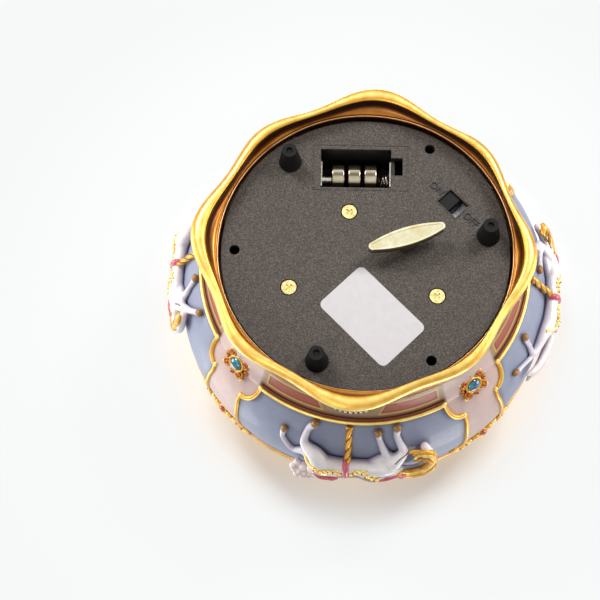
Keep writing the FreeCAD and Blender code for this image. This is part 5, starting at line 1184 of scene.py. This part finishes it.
def turntable(finish):
    rows, radius, _, angle = spun_rows(TABLE_PROFILE, TABLE_STEPS, TABLE_ROW)
    radii, turns = np.meshgrid(radius, np.radians(angle), indexing="ij")
    petal = ROSETTE[0] + (ROSETTE[1] - ROSETTE[0]) * (0.72 + 0.28 * np.abs(np.cos(8 * turns)))
    inner = ROSETTE[0] + ROSETTE_INNER * np.abs(np.cos(4 * turns))
    paint = layered(radii.shape, CREAM, (
        (BLUE, smoothstep(0.4, -0.4, radii - petal)),
        (GOLD, smoothstep(0.7, 0.3, np.abs(radii - petal))),
        (BLUSH, smoothstep(0.4, -0.4, radii - inner)),
        (GOLD, smoothstep(0.6, 0.25, np.abs(radii - inner))),
        (GOLD, smoothstep(0.3, -0.3, radii - ROSETTE[0])),
        (GOLD, smoothstep(0.8, 0.4, np.abs(radii - TABLE_LINE))),
        (GOLD, smoothstep(-0.3, 0.3, radii - TABLE_EDGE)),
    ))
    form = Form()
    form.grid(rows[::-1], paint[::-1], closed_along=True)
    piece = form.piece("painted_turntable", finish["turntable_resin"], slot="turntable_resin", body="table")
    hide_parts("turntable")


# Staging
PAPER = srgb(247, 249, 249)
LIT_FAR = 0.1
SHEETS = (
    # name, radius, height, facing, share lit by the lamps near the object, distances over which that falls
    # to LIT_FAR, distances over which the sheet fades out
    ("floor", 900.0, 0.0, (0.0, 0.0, 1.0), 0.1, (0.0, 1.0), (300.0, 880.0)),
    ("backdrop", 165.0, 77.6, (0.0, 0.0, -1.0), 1.0, (66.0, 84.0), (95.0, 160.0)),
)
SHEET_STEPS = 96
AMBIENT = 0.32
DAYLIGHT = (1.0, 0.985, 0.965, 1.0)
LAMP_AIM = (0.0, 0.0, 0.03)
LAMPS = (
    # place in metres, size, watts, colour
    ((0.34, 0.34, -0.50), 0.22, 2.8, (1.0, 0.985, 0.96)),
    ((-0.34, 0.34, -0.50), 0.22, 3.0, (1.0, 0.985, 0.96)),
    ((0.25, -0.55, -0.38), 0.40, 1.0, (1.0, 0.98, 0.95)),
    ((-0.42, -0.50, 0.62), 0.40, 1.8, (1.0, 0.985, 0.96)),
    ((0.50, -0.25, 0.50), 0.40, 1.3, (0.98, 0.99, 1.0)),
    ((0.05, 0.55, 0.50), 0.40, 1.6, (1.0, 0.99, 0.97)),
    ((0.62, 0.02, -0.05), 0.40, 2.6, (1.0, 0.98, 0.97)),
    ((-0.62, 0.02, -0.05), 0.40, 2.0, (1.0, 0.98, 0.97)),
)


def largest(tree, *values):
    """Largest of several values."""
    whole = values[0]
    for value in values[1:]:
        whole = shader_node(tree, "Math", {0: whole, 1: value}, operation="MAXIMUM").outputs[0]
    return whole


def mixed(tree, first, second, share):
    """Shader between two shaders."""
    return shader_node(tree, "MixShader", {0: share, 1: first.outputs[0], 2: second.outputs[0]})


def world():
    made = bpy.data.worlds.new("studio")
    bpy.context.scene.world = made
    made.use_nodes = True
    tree = made.node_tree
    soft = tree.nodes["Background"]
    soft.inputs["Color"].default_value = DAYLIGHT
    soft.inputs["Strength"].default_value = AMBIENT
    white = shader_node(tree, "Background", {}, {"Color": PAPER, "Strength": 1.0})
    rays = shader_node(tree, "LightPath").outputs
    seen = largest(tree, rays["Is Camera Ray"], rays["Is Glossy Ray"], rays["Is Transmission Ray"])
    tree.links.new(mixed(tree, soft, white, seen).outputs[0], tree.nodes["World Output"].inputs["Surface"])


def by_distance(tree, reach, near=0.0, far=1.0):
    """A value near the middle of the sheet, another far from it, and a soft change over two distances."""
    spot = shader_node(tree, "TexCoord").outputs["Object"]
    length = shader_node(tree, "VectorMath", {0: spot}, operation="LENGTH").outputs["Value"]
    ends = {"From Min": reach[0] * MM, "From Max": reach[1] * MM, "To Min": near, "To Max": far}
    share = shader_node(tree, "MapRange", {"Value": length}, ends, interpolation_type="SMOOTHSTEP")
    return share.outputs["Result"]


def paper_material(name, lit_share, lit_reach, fade):
    """Paper seen from its front side only, lit by the lamps near the object and mostly bright in itself."""
    material = bpy.data.materials.new(name)
    material.use_nodes = True
    tree = material.node_tree
    tree.nodes.remove(tree.nodes["Principled BSDF"])
    lit = shader_node(tree, "BsdfDiffuse", {}, {"Color": PAPER})
    glow = shader_node(tree, "Emission", {}, {"Color": PAPER})
    paper = mixed(tree, lit, glow, by_distance(tree, lit_reach, 1.0 - lit_share, 1.0 - LIT_FAR))
    behind = shader_node(tree, "NewGeometry").outputs["Backfacing"]
    gone = largest(tree, behind, by_distance(tree, fade))
    whole = mixed(tree, paper, shader_node(tree, "BsdfTransparent"), gone)
    tree.links.new(whole.outputs[0], tree.nodes["Material Output"].inputs["Surface"])
    return material


def sheet_of_paper(name, radius, height, facing, material):
    turns = np.linspace(0, 2 * math.pi, SHEET_STEPS, endpoint=False)
    mesh = bpy.data.meshes.new(name)
    corners = [(radius * MM * math.cos(a), radius * MM * math.sin(a), 0.0) for a in turns]
    mesh.from_pydata(corners, [], [tuple(range(SHEET_STEPS))])
    mesh.materials.append(material)
    paper = linked(name, mesh)
    turn = Vector(facing).to_track_quat("Z", "Y").to_matrix().to_4x4()
    paper.matrix_world = Matrix.Translation((0.0, 0.0, height * MM)) @ turn
    for flag in ("visible_diffuse", "visible_glossy", "visible_transmission", "visible_shadow"):
        setattr(paper, flag, False)


def staging():
    world()
    for name, radius, height, facing, *looks in SHEETS:
        sheet_of_paper(name, radius, height, facing, paper_material(name + "_paper", *looks))
    for k, (spot, size, watts, colour) in enumerate(LAMPS):
        data = bpy.data.lights.new("lamp_%d" % k, "AREA")
        data.shape = "DISK"
        data.size, data.energy, data.color = size, watts, colour
        lamp = linked("lamp_%d" % k, data)
        aim = Vector(LAMP_AIM) - Vector(spot)
        lamp.matrix_world = Matrix.Translation(spot) @ aim.to_track_quat("-Z", "Y").to_matrix().to_4x4()
        lamp.visible_camera = False


def camera():
    data = bpy.data.cameras.new("camera")
    data.lens, data.sensor_width = CAMERA_LENS, CAMERA_SENSOR
    data.clip_start = 0.01
    made = linked("camera", data)
    right, up = Vector(CAMERA_RIGHT), Vector(CAMERA_UP)
    axes = Matrix((right, up, right.cross(up))).transposed().to_4x4()
    made.matrix_world = Matrix.Translation(Vector(CAMERA_PLACE) * MM) @ axes
    bpy.context.scene.camera = made


def dress_nodes(finish):
    """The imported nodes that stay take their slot's finish."""
    for part in frame["record"]["subparts"]:
        node = frame["nodes"][part["node"]]
        material = finish[part["material_slot"]]
        for slot in node.material_slots:
            slot.material = material


def main():
    bpy.context.scene.view_settings.view_transform = "Standard"
    camera()
    staging()
    finish = finishes()
    dress_nodes(finish)
    for make in (casting, foot_rim, gold_lines, pearls, flowers, scrolls, horses, harness, poles,
                 plate_frames, switch_words, cells, contact_spring, turntable):
        make(finish)


main()
